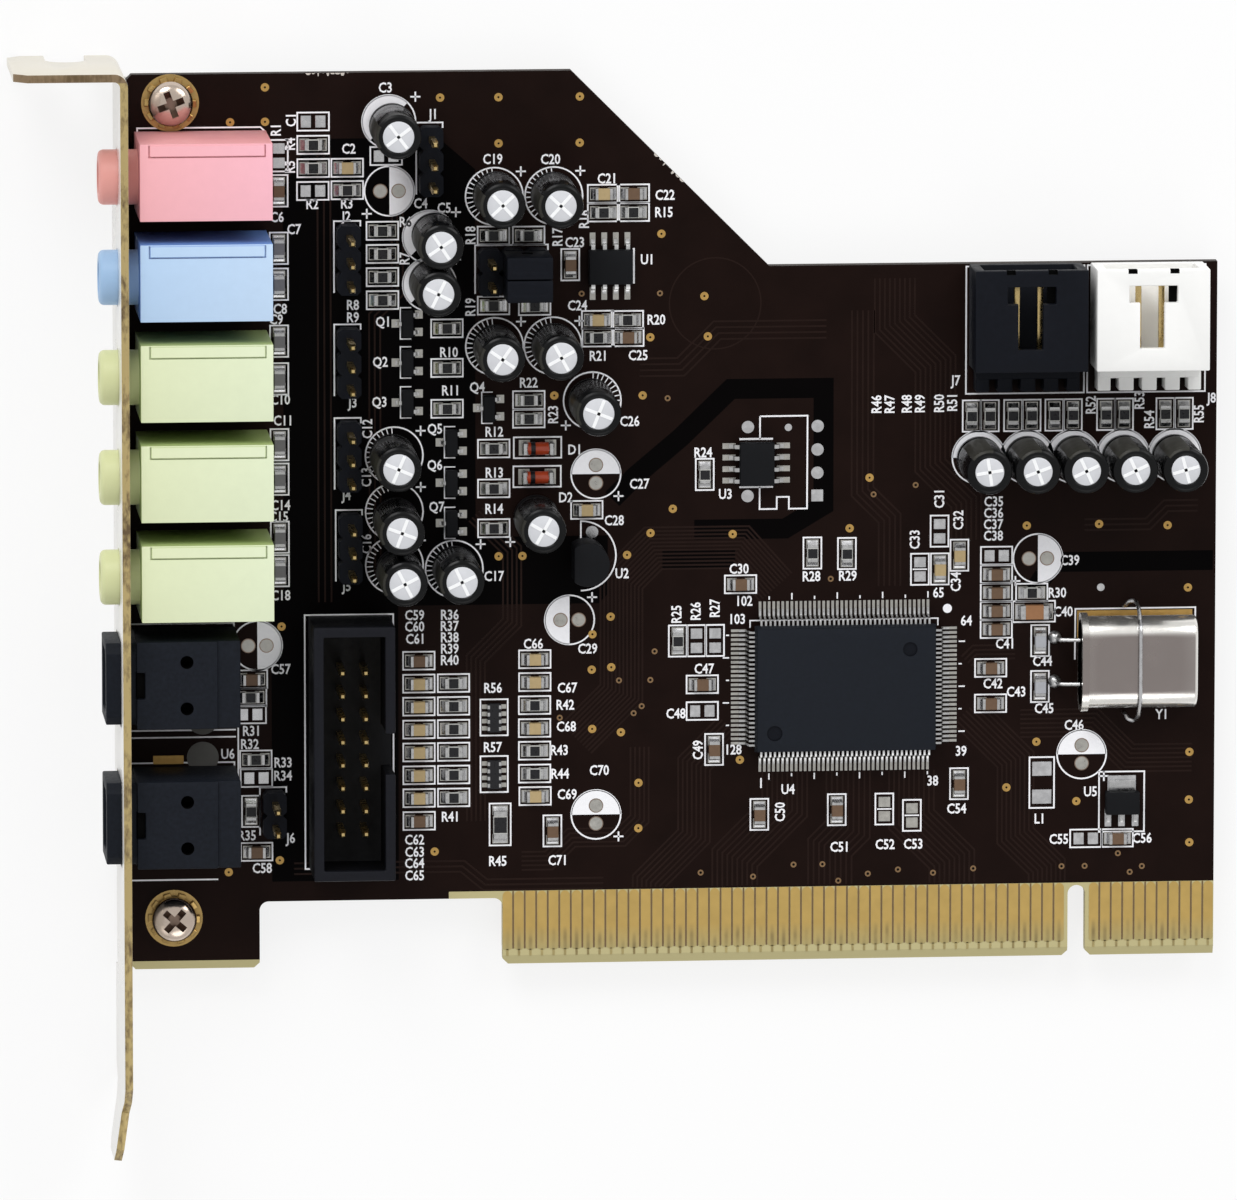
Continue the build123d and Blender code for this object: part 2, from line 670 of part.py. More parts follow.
# Internal audio sockets: shroud open at the board's top edge, comb behind, four pins and their legs
for name, x in zip(AUDIO_NAMES, AUDIO_X):
    pin_columns = [x + PIN_PITCH * (n - 1.5) for n in range(4)]
    with BuildPart() as audio:
        with BuildSketch(deck()):
            with Locations((x, AUDIO_BACK)):
                Rectangle(AUDIO_WIDTH, AUDIO_LENGTH, align=(Align.CENTER, Align.MIN))
        extrude(amount=AUDIO_HEIGHT)
        with BuildSketch(deck()):
            with Locations((x, AUDIO_COMB)):
                Rectangle(AUDIO_COMB_WIDTH, AUDIO_COMB_LENGTH, align=(Align.CENTER, Align.MIN))
            with Locations(*[(column, AUDIO_COMB) for column in pin_columns]):
                Rectangle(
                    AUDIO_COMB_SLOT,
                    AUDIO_COMB_LENGTH,
                    align=(Align.CENTER, Align.MIN),
                    mode=Mode.SUBTRACT,
                )
        extrude(amount=AUDIO_COMB_HEIGHT)
        with BuildSketch(deck(AUDIO_WALL)):
            with Locations((x, AUDIO_CAVITY_END)):
                Rectangle(
                    AUDIO_WIDTH - 2 * AUDIO_WALL,
                    AUDIO_FRONT - AUDIO_CAVITY_END,
                    align=(Align.CENTER, Align.MIN),
                )
        extrude(amount=AUDIO_HEIGHT - 2 * AUDIO_WALL, mode=Mode.SUBTRACT)
        with BuildSketch(deck(AUDIO_HEIGHT)):
            with Locations((x, AUDIO_FRONT - AUDIO_BAR_INSET)):
                Rectangle(AUDIO_BAR_WIDTH, AUDIO_BAR_LENGTH, align=(Align.CENTER, Align.MAX))
                Rectangle(AUDIO_STEM_WIDTH, AUDIO_STEM_LENGTH, align=(Align.CENTER, Align.MAX))
        extrude(amount=-AUDIO_WALL, mode=Mode.SUBTRACT)
    save(audio, name)
    with BuildPart() as audio_pins:
        with BuildSketch(facing_top(AUDIO_CAVITY_END)):
            with Locations(*[(column, -AUDIO_PIN_HEIGHT) for column in pin_columns]):
                Rectangle(PIN_SIDE, PIN_SIDE)
        extrude(amount=AUDIO_FRONT - AUDIO_PIN_INSET - AUDIO_CAVITY_END)
        with BuildSketch(deck()):
            with Locations(*[(column, AUDIO_BACK - PIN_SIDE / 2) for column in pin_columns]):
                Rectangle(PIN_SIDE, PIN_SIDE)
        extrude(amount=AUDIO_PIN_HEIGHT)
    save(audio_pins, f"{name}_pins")

# Audio controller: moulded body with a seam, and its bent leads
with BuildPart() as controller:
    with BuildSketch(deck(CHIP_SEAM)):
        with Locations(CHIP_CENTRE):
            Rectangle(*CHIP_SIZE)
    extrude(amount=CHIP_TOP - CHIP_SEAM, taper=CHIP_DRAFT)
    with BuildSketch(deck(CHIP_SEAM)):
        with Locations(CHIP_CENTRE):
            Rectangle(*CHIP_SIZE)
    extrude(amount=CHIP_BOTTOM - CHIP_SEAM, taper=CHIP_DRAFT)
save(controller, "audio_controller")
controller_planes = []
for angle in (0, 90, 180, 270):
    side = (angle // 90) % 2
    controller_planes += lead_planes(
        CHIP_CENTRE, CHIP_SIZE[side] / 2, CHIP_PITCH, CHIP_LEAD_COUNTS[1 - side], angle
    )
with BuildPart() as controller_leads:
    with BuildSketch(*controller_planes):
        with BuildLine():
            Polyline(*lead_points(CHIP_LEAD_REACH, CHIP_LEAD_THICKNESS, CHIP_SEAM), close=True)
        make_face()
    extrude(amount=CHIP_LEAD_WIDTH / 2, both=True)
save(controller_leads, "audio_controller_leads")

# Eight-lead packages: the amplifier across the card, the memory turned up it
small_planes = []
for name, centre, size, angles in (
    ("amplifier", AMPLIFIER_CENTRE, (SO_LENGTH, SO_WIDTH), (90, 270)),
    ("memory", MEMORY_CENTRE, (SO_WIDTH, SO_LENGTH), (0, 180)),
):
    with BuildPart() as package:
        for height in (SO_TOP, SO_BOTTOM):
            with BuildSketch(deck(SO_SEAM)):
                with Locations(centre):
                    Rectangle(*size)
            extrude(amount=height - SO_SEAM, taper=CHIP_DRAFT)
    save(package, name)
    for angle in angles:
        small_planes += lead_planes(centre, SO_WIDTH / 2, SO_PITCH, 4, angle)
with BuildPart() as small_leads:
    with BuildSketch(*small_planes):
        with BuildLine():
            Polyline(*lead_points(SO_LEAD_REACH, SO_LEAD_THICKNESS, SO_SEAM), close=True)
        make_face()
    extrude(amount=SO_LEAD_WIDTH / 2, both=True)
save(small_leads, "small_package_leads")

# Transistors
with BuildPart() as transistors:
    with BuildSketch(deck()):
        with Locations(*TRANSISTORS):
            Rectangle(*TRANSISTOR_SIZE)
    extrude(amount=TRANSISTOR_HEIGHT)
save(transistors, "transistors")

# Power regulator: body on a metal tab, three leads opposite
with BuildPart() as power:
    with BuildSketch(deck()):
        with Locations(POWER_CENTRE):
            Rectangle(*POWER_SIZE)
    extrude(amount=POWER_HEIGHT)
save(power, "power_regulator")
with BuildPart() as power_leads:
    with BuildSketch(deck()):
        with Locations((POWER_CENTRE[0], POWER_CENTRE[1] + POWER_SIZE[1] / 2)):
            Rectangle(*POWER_TAB, align=(Align.CENTER, Align.MIN))
        with Locations((POWER_CENTRE[0], POWER_CENTRE[1] - POWER_SIZE[1] / 2 - POWER_LEAD[1] / 2)):
            with GridLocations(POWER_LEAD_PITCH, 0, 3, 1):
                Rectangle(*POWER_LEAD)
    extrude(amount=POWER_METAL)
save(power_leads, "power_regulator_leads")

# Reference regulator: half-round body on three legs, flat towards the bracket
with BuildPart() as round_case:
    with BuildSketch(deck(ROUND_BOTTOM)):
        with Locations(ROUND_CENTRE):
            Circle(ROUND_DIAMETER / 2)
        with Locations((ROUND_CENTRE[0] - ROUND_FLAT, ROUND_CENTRE[1])):
            Rectangle(
                ROUND_DIAMETER, ROUND_DIAMETER, align=(Align.MAX, Align.CENTER), mode=Mode.SUBTRACT
            )
    extrude(amount=ROUND_TOP - ROUND_BOTTOM)
save(round_case, "reference_regulator")
with BuildPart() as round_legs:
    with BuildSketch(deck()):
        with Locations(ROUND_CENTRE):
            with GridLocations(0, CONTACT_PITCH, 1, 3):
                Rectangle(ROUND_LEAD, ROUND_LEAD)
    extrude(amount=ROUND_BOTTOM)
save(round_legs, "reference_regulator_legs")

# Crystal can, its two bent leads and the strap soldered over it
CRYSTAL_AXIS = CRYSTAL_THICKNESS / 2
with BuildPart() as crystal:
    with BuildSketch(facing_bracket(CRYSTAL_BASE_X, CRYSTAL_Y, CRYSTAL_AXIS)):
        SlotOverall(CRYSTAL_WIDTH, CRYSTAL_THICKNESS)
    extrude(amount=CRYSTAL_BASE_X - CRYSTAL_END_X)
save(crystal, "crystal")
with BuildPart() as crystal_leads:
    for side in (1, -1):
        y = CRYSTAL_Y + side * CRYSTAL_LEAD_SPACING / 2
        with BuildLine():
            Polyline(
                (CRYSTAL_BASE_X - ORIGIN_X, y, HALF + CRYSTAL_AXIS),
                (CRYSTAL_LEAD_X - ORIGIN_X, y, HALF + CRYSTAL_AXIS),
                (CRYSTAL_LEAD_X - ORIGIN_X, y, HALF),
            )
        with BuildSketch(facing_bracket(CRYSTAL_BASE_X, y, CRYSTAL_AXIS)):
            Rectangle(CRYSTAL_LEAD_SIDE, CRYSTAL_LEAD_SIDE)
        sweep(transition=Transition.RIGHT)
save(crystal_leads, "crystal_leads")
with BuildPart() as strap:
    with BuildLine():
        strap_top = CRYSTAL_AXIS + CRYSTAL_THICKNESS / 2 + STRAP_SIDE / 2
        Polyline(
            *[
                (STRAP_X - ORIGIN_X, CRYSTAL_Y + reach, HALF + height)
                for reach, height in (
                    (STRAP_REACH, 0),
                    (STRAP_SHOULDER, STRAP_SHOULDER_HEIGHT),
                    (STRAP_FLAT, strap_top),
                    (-STRAP_FLAT, strap_top),
                    (-STRAP_SHOULDER, STRAP_SHOULDER_HEIGHT),
                    (-STRAP_REACH, 0),
                )
            ]
        )
    with BuildSketch(
        Plane(
            origin=(STRAP_X - ORIGIN_X, CRYSTAL_Y + STRAP_REACH, HALF),
            x_dir=(1, 0, 0),
            z_dir=(0, STRAP_SHOULDER - STRAP_REACH, STRAP_SHOULDER_HEIGHT),
        )
    ):
        Rectangle(STRAP_SIDE, STRAP_SIDE)
    sweep(transition=Transition.RIGHT)
    with BuildSketch(deck()):
        Rectangle(4 * BOARD_LENGTH, 4 * BOARD_LENGTH)
    extrude(amount=-OVER, mode=Mode.SUBTRACT)
save(strap, "crystal_strap")

# Glass diodes with square end caps
with BuildPart() as diodes:
    with BuildSketch(deck()):
        with Locations(*DIODES):
            Rectangle(DIODE_LENGTH, DIODE_SIDE)
    extrude(amount=DIODE_SIDE)
save(diodes, "diodes")

# Electrolytic capacitors, sealed cans in their sleeves
with BuildPart() as cans:
    with BuildSketch(deck()):
        with Locations(*CAPACITORS):
            Circle(CAN_DIAMETER / 2)
    extrude(amount=CAN_HEIGHT)
save(cans, "electrolytic_capacitors")

# Chip parts
with BuildPart() as resistors:
    with BuildSketch(deck()):
        with Locations(*RESISTORS_ACROSS):
            Rectangle(*CHIP_PART)
        with Locations(*RESISTORS_UP):
            Rectangle(CHIP_PART[1], CHIP_PART[0])
        with Locations(*LARGE_RESISTORS_UP):
            Rectangle(LARGE_CHIP_PART[1], LARGE_CHIP_PART[0])
    extrude(amount=RESISTOR_HEIGHT)
save(resistors, "chip_resistors")
with BuildPart() as capacitors:
    with BuildSketch(deck()):
        with Locations(*CAPACITORS_ACROSS):
            Rectangle(*CHIP_PART)
        with Locations(*CAPACITORS_UP):
            Rectangle(CHIP_PART[1], CHIP_PART[0])
        with Locations(*LARGE_CAPACITORS_ACROSS):
            Rectangle(*LARGE_CHIP_PART)
    extrude(amount=CAPACITOR_HEIGHT)
save(capacitors, "chip_capacitors")
with BuildPart() as networks:
    with BuildSketch(deck()):
        with Locations(*NETWORKS):
            Rectangle(*NETWORK_SIZE)
    extrude(amount=RESISTOR_HEIGHT)
save(networks, "resistor_networks")
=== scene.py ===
"""Looks of the sound card: finishes, leads, print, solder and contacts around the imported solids."""

import math

import bmesh
import bpy
from mathutils import Matrix, Vector


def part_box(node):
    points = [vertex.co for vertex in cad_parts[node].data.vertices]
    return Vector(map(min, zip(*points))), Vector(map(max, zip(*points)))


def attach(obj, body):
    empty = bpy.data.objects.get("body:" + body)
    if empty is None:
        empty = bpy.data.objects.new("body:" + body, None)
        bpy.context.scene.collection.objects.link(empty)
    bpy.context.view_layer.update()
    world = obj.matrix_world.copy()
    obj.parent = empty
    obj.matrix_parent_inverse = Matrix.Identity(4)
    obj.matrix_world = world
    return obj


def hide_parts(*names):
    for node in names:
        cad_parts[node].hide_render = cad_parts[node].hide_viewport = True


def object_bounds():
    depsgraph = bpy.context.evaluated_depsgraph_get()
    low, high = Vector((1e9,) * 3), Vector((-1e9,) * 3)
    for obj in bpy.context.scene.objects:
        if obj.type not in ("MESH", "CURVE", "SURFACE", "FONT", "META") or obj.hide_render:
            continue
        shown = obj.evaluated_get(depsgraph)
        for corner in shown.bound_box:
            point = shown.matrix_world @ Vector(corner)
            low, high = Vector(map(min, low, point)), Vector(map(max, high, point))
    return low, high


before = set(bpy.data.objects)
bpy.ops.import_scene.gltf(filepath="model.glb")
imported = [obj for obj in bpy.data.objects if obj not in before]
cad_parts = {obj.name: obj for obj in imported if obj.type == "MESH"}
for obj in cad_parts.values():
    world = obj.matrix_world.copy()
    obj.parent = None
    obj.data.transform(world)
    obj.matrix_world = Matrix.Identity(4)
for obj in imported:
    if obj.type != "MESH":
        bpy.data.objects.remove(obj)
cad_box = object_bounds()

# Card millimetres: x from the bracket end of the board, y from the connector edge, z from the component side
MM = 0.001
BOARD_LOW, BOARD_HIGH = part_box("board")
KEY_X = -BOARD_LOW.x / MM
HALF = BOARD_HIGH.z / MM
BACK = -2 * HALF
TO_ROW = Matrix.Scale(MM, 4) @ Matrix.Translation((-KEY_X, 0, HALF))
TO_CARD = TO_ROW.inverted()

# Pixels of the photograph to card millimetres, on the component side: origin, scale, perspective and slant
PHOTO_ORIGIN = (133.99, 975.89)
PHOTO_SCALE = (9.1276, 9.5533)
PHOTO_TILT = (6.64e-5, 5.03e-5)
PHOTO_SLANT = 0.052

# Bottoms and tops of what is printed or plated on the board
SINK = 0.02
MASK_STEP = 0.012
PAD_TOP = 0.035
PRINT_TOP = 0.03
PLATED = (-SINK, PAD_TOP)
PRINTED = (-SINK, PRINT_TOP)

# Printed letters
MARK_SIZE = 1.55
LETTER_WEIGHT = 0.03
LETTER_WIDTH = 0.82

# Edges: least angle of those that are rounded and of those that shade sharp, and a seam's tolerance
ROUND_ANGLE = math.radians(30)
SHADE_ANGLE = math.radians(32)
SEAM_ROOM = 0.01

# Sizes of edges on fine, small and larger parts, and the most of a block's least side that an edge takes
FINE_EDGE = 0.08
SMALL_EDGE = 0.1
SHELL_EDGE = 0.14
LARGE_EDGE = 0.16
EDGE_SHARE = 0.225

# Facets: how near to each other corners are joined, and up to which angle facets make one face
WELD_ROOM = 0.002
FLAT_ANGLE = math.radians(1)

# Wires: reach and steps of a bend, sides of the section, and how far leads pass behind the board
BEND_REACH = 0.45
BEND_STEPS = 4
WIRE_SIDES = 10
LEAD_END = BACK - 0.9

# Signs of a square's corners, the turn that stands an outline upright, and how far cutters reach out
SQUARE = ((-1, -1), (1, -1), (1, 1), (-1, 1))
UPRIGHT = Matrix(((1, 0, 0, 0), (0, 0, -1, 0), (0, 1, 0, 0), (0, 0, 0, 1)))
OVER = 1.0


def spot(u, v):
    # Place on the board under a pixel
    across, up = PHOTO_TILT
    rows = Matrix((
        (PHOTO_SCALE[0] - across * u, -up * u),
        (PHOTO_SLANT - across * v, -PHOTO_SCALE[1] - up * v),
    ))
    return tuple(rows.inverted() @ Vector((u - PHOTO_ORIGIN[0], v - PHOTO_ORIGIN[1])))


def spots(*pixels):
    return [spot(*pixel) for pixel in pixels]


def arc(centre, radius, count, start=0.0, sweep=math.tau):
    # Points round a circle; a part of one has a point at each end
    steps = count if sweep == math.tau else count + 1
    angles = [start + sweep * n / count for n in range(steps)]
    return [(centre[0] + radius * math.cos(a), centre[1] + radius * math.sin(a)) for a in angles]


def both_faces(top):
    # Bottoms and tops of a layer on the front and on the back of the board
    return (-SINK, top), (BACK - top, BACK + SINK)


def rectangle(low, high):
    return [(low[0], low[1]), (high[0], low[1]), (high[0], high[1]), (low[0], high[1])]


def turn_z(angle):
    return Matrix.Rotation(angle, 4, "Z")


# Materials
def feed(tree, node, inputs):
    # Sets each input to a value, or links it where a socket is given
    for key, value in inputs.items():
        if isinstance(value, bpy.types.NodeSocket):
            tree.links.new(value, node.inputs[key])
        else:
            node.inputs[key].default_value = value


def new_node(tree, kind, inputs=None, **settings):
    node = tree.nodes.new("ShaderNode" + kind)
    for key, value in settings.items():
        setattr(node, key, value)
    feed(tree, node, inputs or {})
    return node


# Depth of a finish's relief, and how many times finer than the grain it is
RELIEF_DEPTH = 0.05
RELIEF_FINER = 6


class Finish:
    """A grained material, with other colours painted over it by place."""

    def __init__(self, name, colour, rough, metal=0, grain=900, vary=0.08, bump=0.1, spread=0.06, shine=0.3):
        self.material = bpy.data.materials.new(name)
        self.material.use_nodes = True
        self.tree = self.material.node_tree
        self.where = self.node("TexCoord").outputs
        noise = self.noise(grain, 5)
        dark, light = ([min(1, c * (1 + sign * vary)) for c in colour] + [1] for sign in (-1, 1))
        self.base = self.mix(noise, dark, light)
        relief = {"Strength": bump, "Distance": RELIEF_DEPTH * MM, "Height": self.noise(grain * RELIEF_FINER)}
        self.shade({
            "Base Color": self.base,
            "Metallic": metal,
            "Specular IOR Level": shine if metal < 0.5 else 0.5,
            "Roughness": self.fade(noise, 0.3, 0.7, min(1, rough + spread), max(0.02, rough - spread)),
            "Normal": self.node("Bump", relief).outputs["Normal"],
        })

    def node(self, kind, inputs=None, **settings):
        return new_node(self.tree, kind, inputs, **settings)

    def shade(self, inputs):
        feed(self.tree, self.tree.nodes["Principled BSDF"], inputs)

    def mix(self, factor, first, second):
        inputs = {"Factor": factor, "A": first, "B": second}
        return self.node("Mix", inputs, data_type="RGBA").outputs["Result"]

    def noise(self, scale, detail=2, where=None):
        inputs = {"Vector": where or self.where["Object"], "Scale": scale, "Detail": detail}
        return self.node("TexNoise", inputs).outputs["Fac"]

    def math(self, operation, first, second=0.0):
        return self.node("Math", {0: first, 1: second}, operation=operation).outputs[0]

    def fade(self, value, start, end, most=1.0, least=0.0):
        # Grows from least at start to most at end
        inputs = {"Value": value, "From Min": start, "From Max": end, "To Min": least, "To Max": most}
        return self.node("MapRange", inputs).outputs["Result"]

    def split(self, kind):
        return self.node("SeparateXYZ", {"Vector": self.where[kind]}).outputs

    def places(self):
        return self.split("Object")

    def facing(self):
        # One on faces that look straight up or down, nothing on upright ones
        return self.math("ABSOLUTE", self.split("Normal")["Z"])

    def paint(self, factor, colour):
        # Lays another colour over the base colour by a mask made from places on the piece
        self.base = self.mix(factor, self.base, [*colour, 1])
        self.shade({"Base Color": self.base})


def surface(*look, **more):
    return Finish(*look, **more).material


def resin(name, colour, rough, grain, shine, vary=0.25, bump=0.3):
    return surface(name, colour, rough, grain=grain, vary=vary, bump=bump, shine=shine)


LAMINATE = (0.5, 0.445, 0.235)
MASK_EDGE_Y = 8.18
MASK_EDGE_X = 35.0
BARE_RIM = 0.95


def board_finish():
    # Dark mask with darker edges, bare laminate between the contacts and along the rim
    made = Finish("board_mask", (0.0092, 0.004, 0.003), 0.45, grain=260, vary=0.3, bump=0.12, shine=0.05)
    made.paint(made.math("LESS_THAN", made.facing(), 0.3), (0.02, 0.012, 0.008))
    x, y, _ = made.places()
    low = made.math("LESS_THAN", y, MASK_EDGE_Y * MM)
    right = made.math("GREATER_THAN", x, (MASK_EDGE_X - KEY_X) * MM)
    rim = made.math("LESS_THAN", y, BARE_RIM * MM)
    made.paint(made.math("MAXIMUM", made.math("MULTIPLY", low, right), rim), LAMINATE)
    return made.material


CONTACT_PITCH = 1.27
FIRST_CONTACT = -49.5 * CONTACT_PITCH
PALE_SPAN = (4.2, 1.7)
STREAK_SPAN = (4.3, 2.9)
STREAK_HALF = (0.3, 0.08)


def contact_finish():
    # Gold that fades towards the lower end, with a dark rubbed streak down the middle of each contact
    made = Finish("contact_gold", (0.52, 0.35, 0.105), 0.36, metal=0.55, grain=700, vary=0.1)
    x, y, _ = made.places()
    made.paint(made.fade(y, *(s * MM for s in PALE_SPAN), 0.9), (0.45, 0.375, 0.165))
    along = made.math("SUBTRACT", x, FIRST_CONTACT * MM)
    aside = made.math("PINGPONG", along, CONTACT_PITCH / 2 * MM)
    streak = made.fade(aside, *(s * MM for s in STREAK_HALF))
    streak = made.math("MULTIPLY", streak, made.fade(y, *(s * MM for s in STREAK_SPAN)))
    streak = made.math("MULTIPLY", streak, made.fade(made.noise(330), 0.35, 0.7, 0.75))
    made.paint(streak, (0.17, 0.125, 0.055))
    return made.material


EAR_START = -0.45
FLANGE_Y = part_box("bracket")[1].y - 0.95 * MM


def bracket_finish():
    # Bright plate with golden, stained cut edges, creamier and browner at the top flange
    made = Finish("bracket_plate", (0.84, 0.83, 0.8), 0.32, metal=0.6, grain=120, vary=0.05, bump=0.05)
    x, y, _ = made.places()
    flange = made.math("GREATER_THAN", y, FLANGE_Y)
    made.paint(flange, (0.76, 0.72, 0.62))
    cut = made.math("GREATER_THAN", made.facing(), 0.6)
    cut = made.math("MULTIPLY", cut, made.math("LESS_THAN", x, (EAR_START - KEY_X) * MM))
    made.paint(cut, (0.5, 0.385, 0.17))
    made.paint(made.math("MULTIPLY", cut, flange), (0.27, 0.19, 0.11))
    stretch = made.node("Mapping", {"Vector": made.where["Object"], "Scale": (2600, 1100, 1100)})
    grain = made.noise(1, 6, stretch.outputs["Vector"])
    stain = made.fade(made.math("ADD", grain, made.noise(150)), 0.92, 1.25)
    made.paint(made.math("MULTIPLY", cut, stain), (0.15, 0.1, 0.05))
    return made.material


def can_painted_reflection():
    # Drawn metal with a painted reflection: the flat top is painted darker, as if it mirrored a dark room
    # above, and the rounded shoulders stay bright
    made = Finish("can_metal", (0.86, 0.84, 0.8), 0.22, metal=0.9, grain=350, vary=0.06, spread=0.08)
    # Painted reflection: a dark colour on faces that look straight up
    made.paint(made.fade(made.facing(), 0.95, 0.995), (0.28, 0.245, 0.232))
    return made.material


JACK_ENDS = (0.85, 15.2)


def jack_sheen_and_shade(name, top, nozzle, side):
    # Plastic with painted light: a painted sheen, paler than the plastic, where it faces up, and painted
    # shade on its walls
    made = Finish(name, top, 0.45, vary=0.04, bump=0.15)
    x, _, _ = made.places()
    front, rear = ((end - KEY_X) * MM for end in JACK_ENDS)
    # The nozzle has the plastic's own deeper colour, which the housing also takes in part towards its front
    made.paint(made.fade(x, rear, front, 0.4), nozzle)
    # Painted shade: faces that turn from up towards upright take the darker side colour
    made.paint(made.fade(made.facing(), 0.9, 0.55), side)
    made.paint(made.math("LESS_THAN", x, front), nozzle)
    return made.material


SHROUD_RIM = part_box("box_header")[1].z
SHROUD_SHADE = (0.3, 1.0)


def shroud_painted_shade():
    # Black plastic, with painted shade that makes it darker below the rim
    made = Finish("shroud_black", (0.0075, 0.008, 0.0115), 0.5, 0, 1800, 0.25, 0.3, shine=0.12)
    _, _, z = made.places()
    shade = made.fade(z, *(SHROUD_RIM - depth * MM for depth in SHROUD_SHADE))
    made.paint(shade, (0.0022, 0.0023, 0.0032))
    return made.material


BOARD = board_finish()
CONTACT = contact_finish()
BRACKET = bracket_finish()
MASK_DARK = surface("mask_dark", (0.0012, 0.0008, 0.0009), 0.45, grain=300, vary=0.2, shine=0.025)
MASK_TRACE = surface("mask_trace", (0.0148, 0.0069, 0.0051), 0.4, grain=500, vary=0.25, shine=0.08)
PRINT = surface("print_white", (0.91, 0.91, 0.94), 0.6, grain=2500, vary=0.05)
TIN = surface("tin", (0.5, 0.5, 0.5), 0.3, metal=1, grain=2200, vary=0.25, spread=0.12)
SOLDER = surface("solder", (0.56, 0.56, 0.57), 0.26, metal=1, grain=1500, vary=0.25, spread=0.12)
PAD = surface("pad_tin", (0.42, 0.41, 0.38), 0.38, metal=0.8, grain=1800, vary=0.25, spread=0.12)
GOLD = surface("pin_gold", (0.6, 0.45, 0.2), 0.28, metal=1, grain=1500, vary=0.15)
COPPER = surface("ring_copper", (0.48, 0.29, 0.08), 0.38, metal=0.6, grain=1200, vary=0.25)
PEG = surface("peg_grey", (0.11, 0.108, 0.1), 0.5, vary=0.12, shine=0.2)
DULL = surface("ring_dull", (0.22, 0.13, 0.06), 0.45, metal=0.5, grain=1200, vary=0.25)
STEEL = surface("screw_steel", (0.6, 0.5, 0.42), 0.2, metal=1, grain=600, vary=0.12)
# Darker copy of the screw steel: painted shade in the screws' cross recesses; it also gives the empty holes'
# pads a dark rim
RECESS = surface("screw_recess", (0.25, 0.18, 0.14), 0.35, metal=0.9, vary=0.3)
WASHER = surface("washer_gold", (0.42, 0.28, 0.1), 0.3, metal=0.8, vary=0.3)
CAN = can_painted_reflection()
ALUMINIUM = surface("can_top", (0.64, 0.65, 0.68), 0.5, metal=0.2, grain=1400, vary=0.06)
SCORE = surface("can_score", (0.92, 0.93, 0.94), 0.45, metal=0.1, grain=1400, vary=0.03)
SLEEVE = surface("sleeve_black", (0.005, 0.0052, 0.0056), 0.24, 0, 300, 0.25, spread=0.1, shine=0.14)
STRIPE = surface("sleeve_stripe", (0.032, 0.031, 0.026), 0.34, grain=700, vary=0.3, shine=0.15)
PACKAGE = resin("package_resin", (0.0095, 0.0118, 0.017), 0.6, 3000, 0.12, bump=0.35)
RESIN = resin("small_resin", (0.0062, 0.0066, 0.008), 0.55, 3000, 0.1)
BLACK = resin("plastic_black", (0.005, 0.006, 0.0095), 0.5, 1800, 0.09)
OPTICAL = resin("plastic_optical", (0.0085, 0.0105, 0.0155), 0.55, 2400, 0.1, vary=0.5)
SHROUD = shroud_painted_shade()
# Painted shade: a black put into holes, notches, windows and pockets, and into the plated holes through the
# board
HOLE_SHADE = surface("hole_black", (0.002, 0.002, 0.002), 0.8, shine=0.05)
WHITE = surface("plastic_white", (0.9, 0.9, 0.885), 0.45, vary=0.02, bump=0.12)
PINK = jack_sheen_and_shade("plastic_pink", (0.935, 0.49, 0.57), (0.83, 0.375, 0.335), (0.72, 0.31, 0.32))
BLUE = jack_sheen_and_shade("plastic_blue", (0.53, 0.69, 0.895), (0.36, 0.54, 0.78), (0.14, 0.28, 0.65))
GREEN = jack_sheen_and_shade("plastic_green", (0.755, 0.83, 0.59), (0.69, 0.72, 0.395), (0.4, 0.5, 0.2))
CERAMIC = surface("ceramic_white", (0.5, 0.5, 0.48), 0.5, grain=2500, vary=0.06)
GLAZE = surface("resistor_glaze", (0.009, 0.009, 0.011), 0.3, grain=2500, vary=0.25)
GLASS = surface("diode_glass", (0.4, 0.055, 0.02), 0.1, grain=1200, vary=0.2, shine=0.5)
LENS = surface("module_red", (0.12, 0.01, 0.015), 0.15, grain=600, vary=0.1, shine=0.5)
GAP = surface("contact_gap", (0.16, 0.1, 0.045), 0.6, grain=1500, vary=0.25)
CHIPPED = surface("laminate_chipped", (0.6, 0.55, 0.5), 0.8, grain=2500, vary=0.3)
CAPACITOR_COLOURS = {
    "brown": ((0.135, 0.08, 0.047), 0.15),
    "tan": ((0.44, 0.33, 0.17), 0.12),
    "grey": ((0.17, 0.165, 0.175), 0.12),
    "pale": ((0.4, 0.41, 0.44), 0.1),
    "orange": ((0.31, 0.15, 0.068), 0.1),
}
CAPACITOR_BODIES = [
    surface("capacitor_" + name, colour, 0.42, grain=2500, vary=vary)
    for name, (colour, vary) in CAPACITOR_COLOURS.items()
]


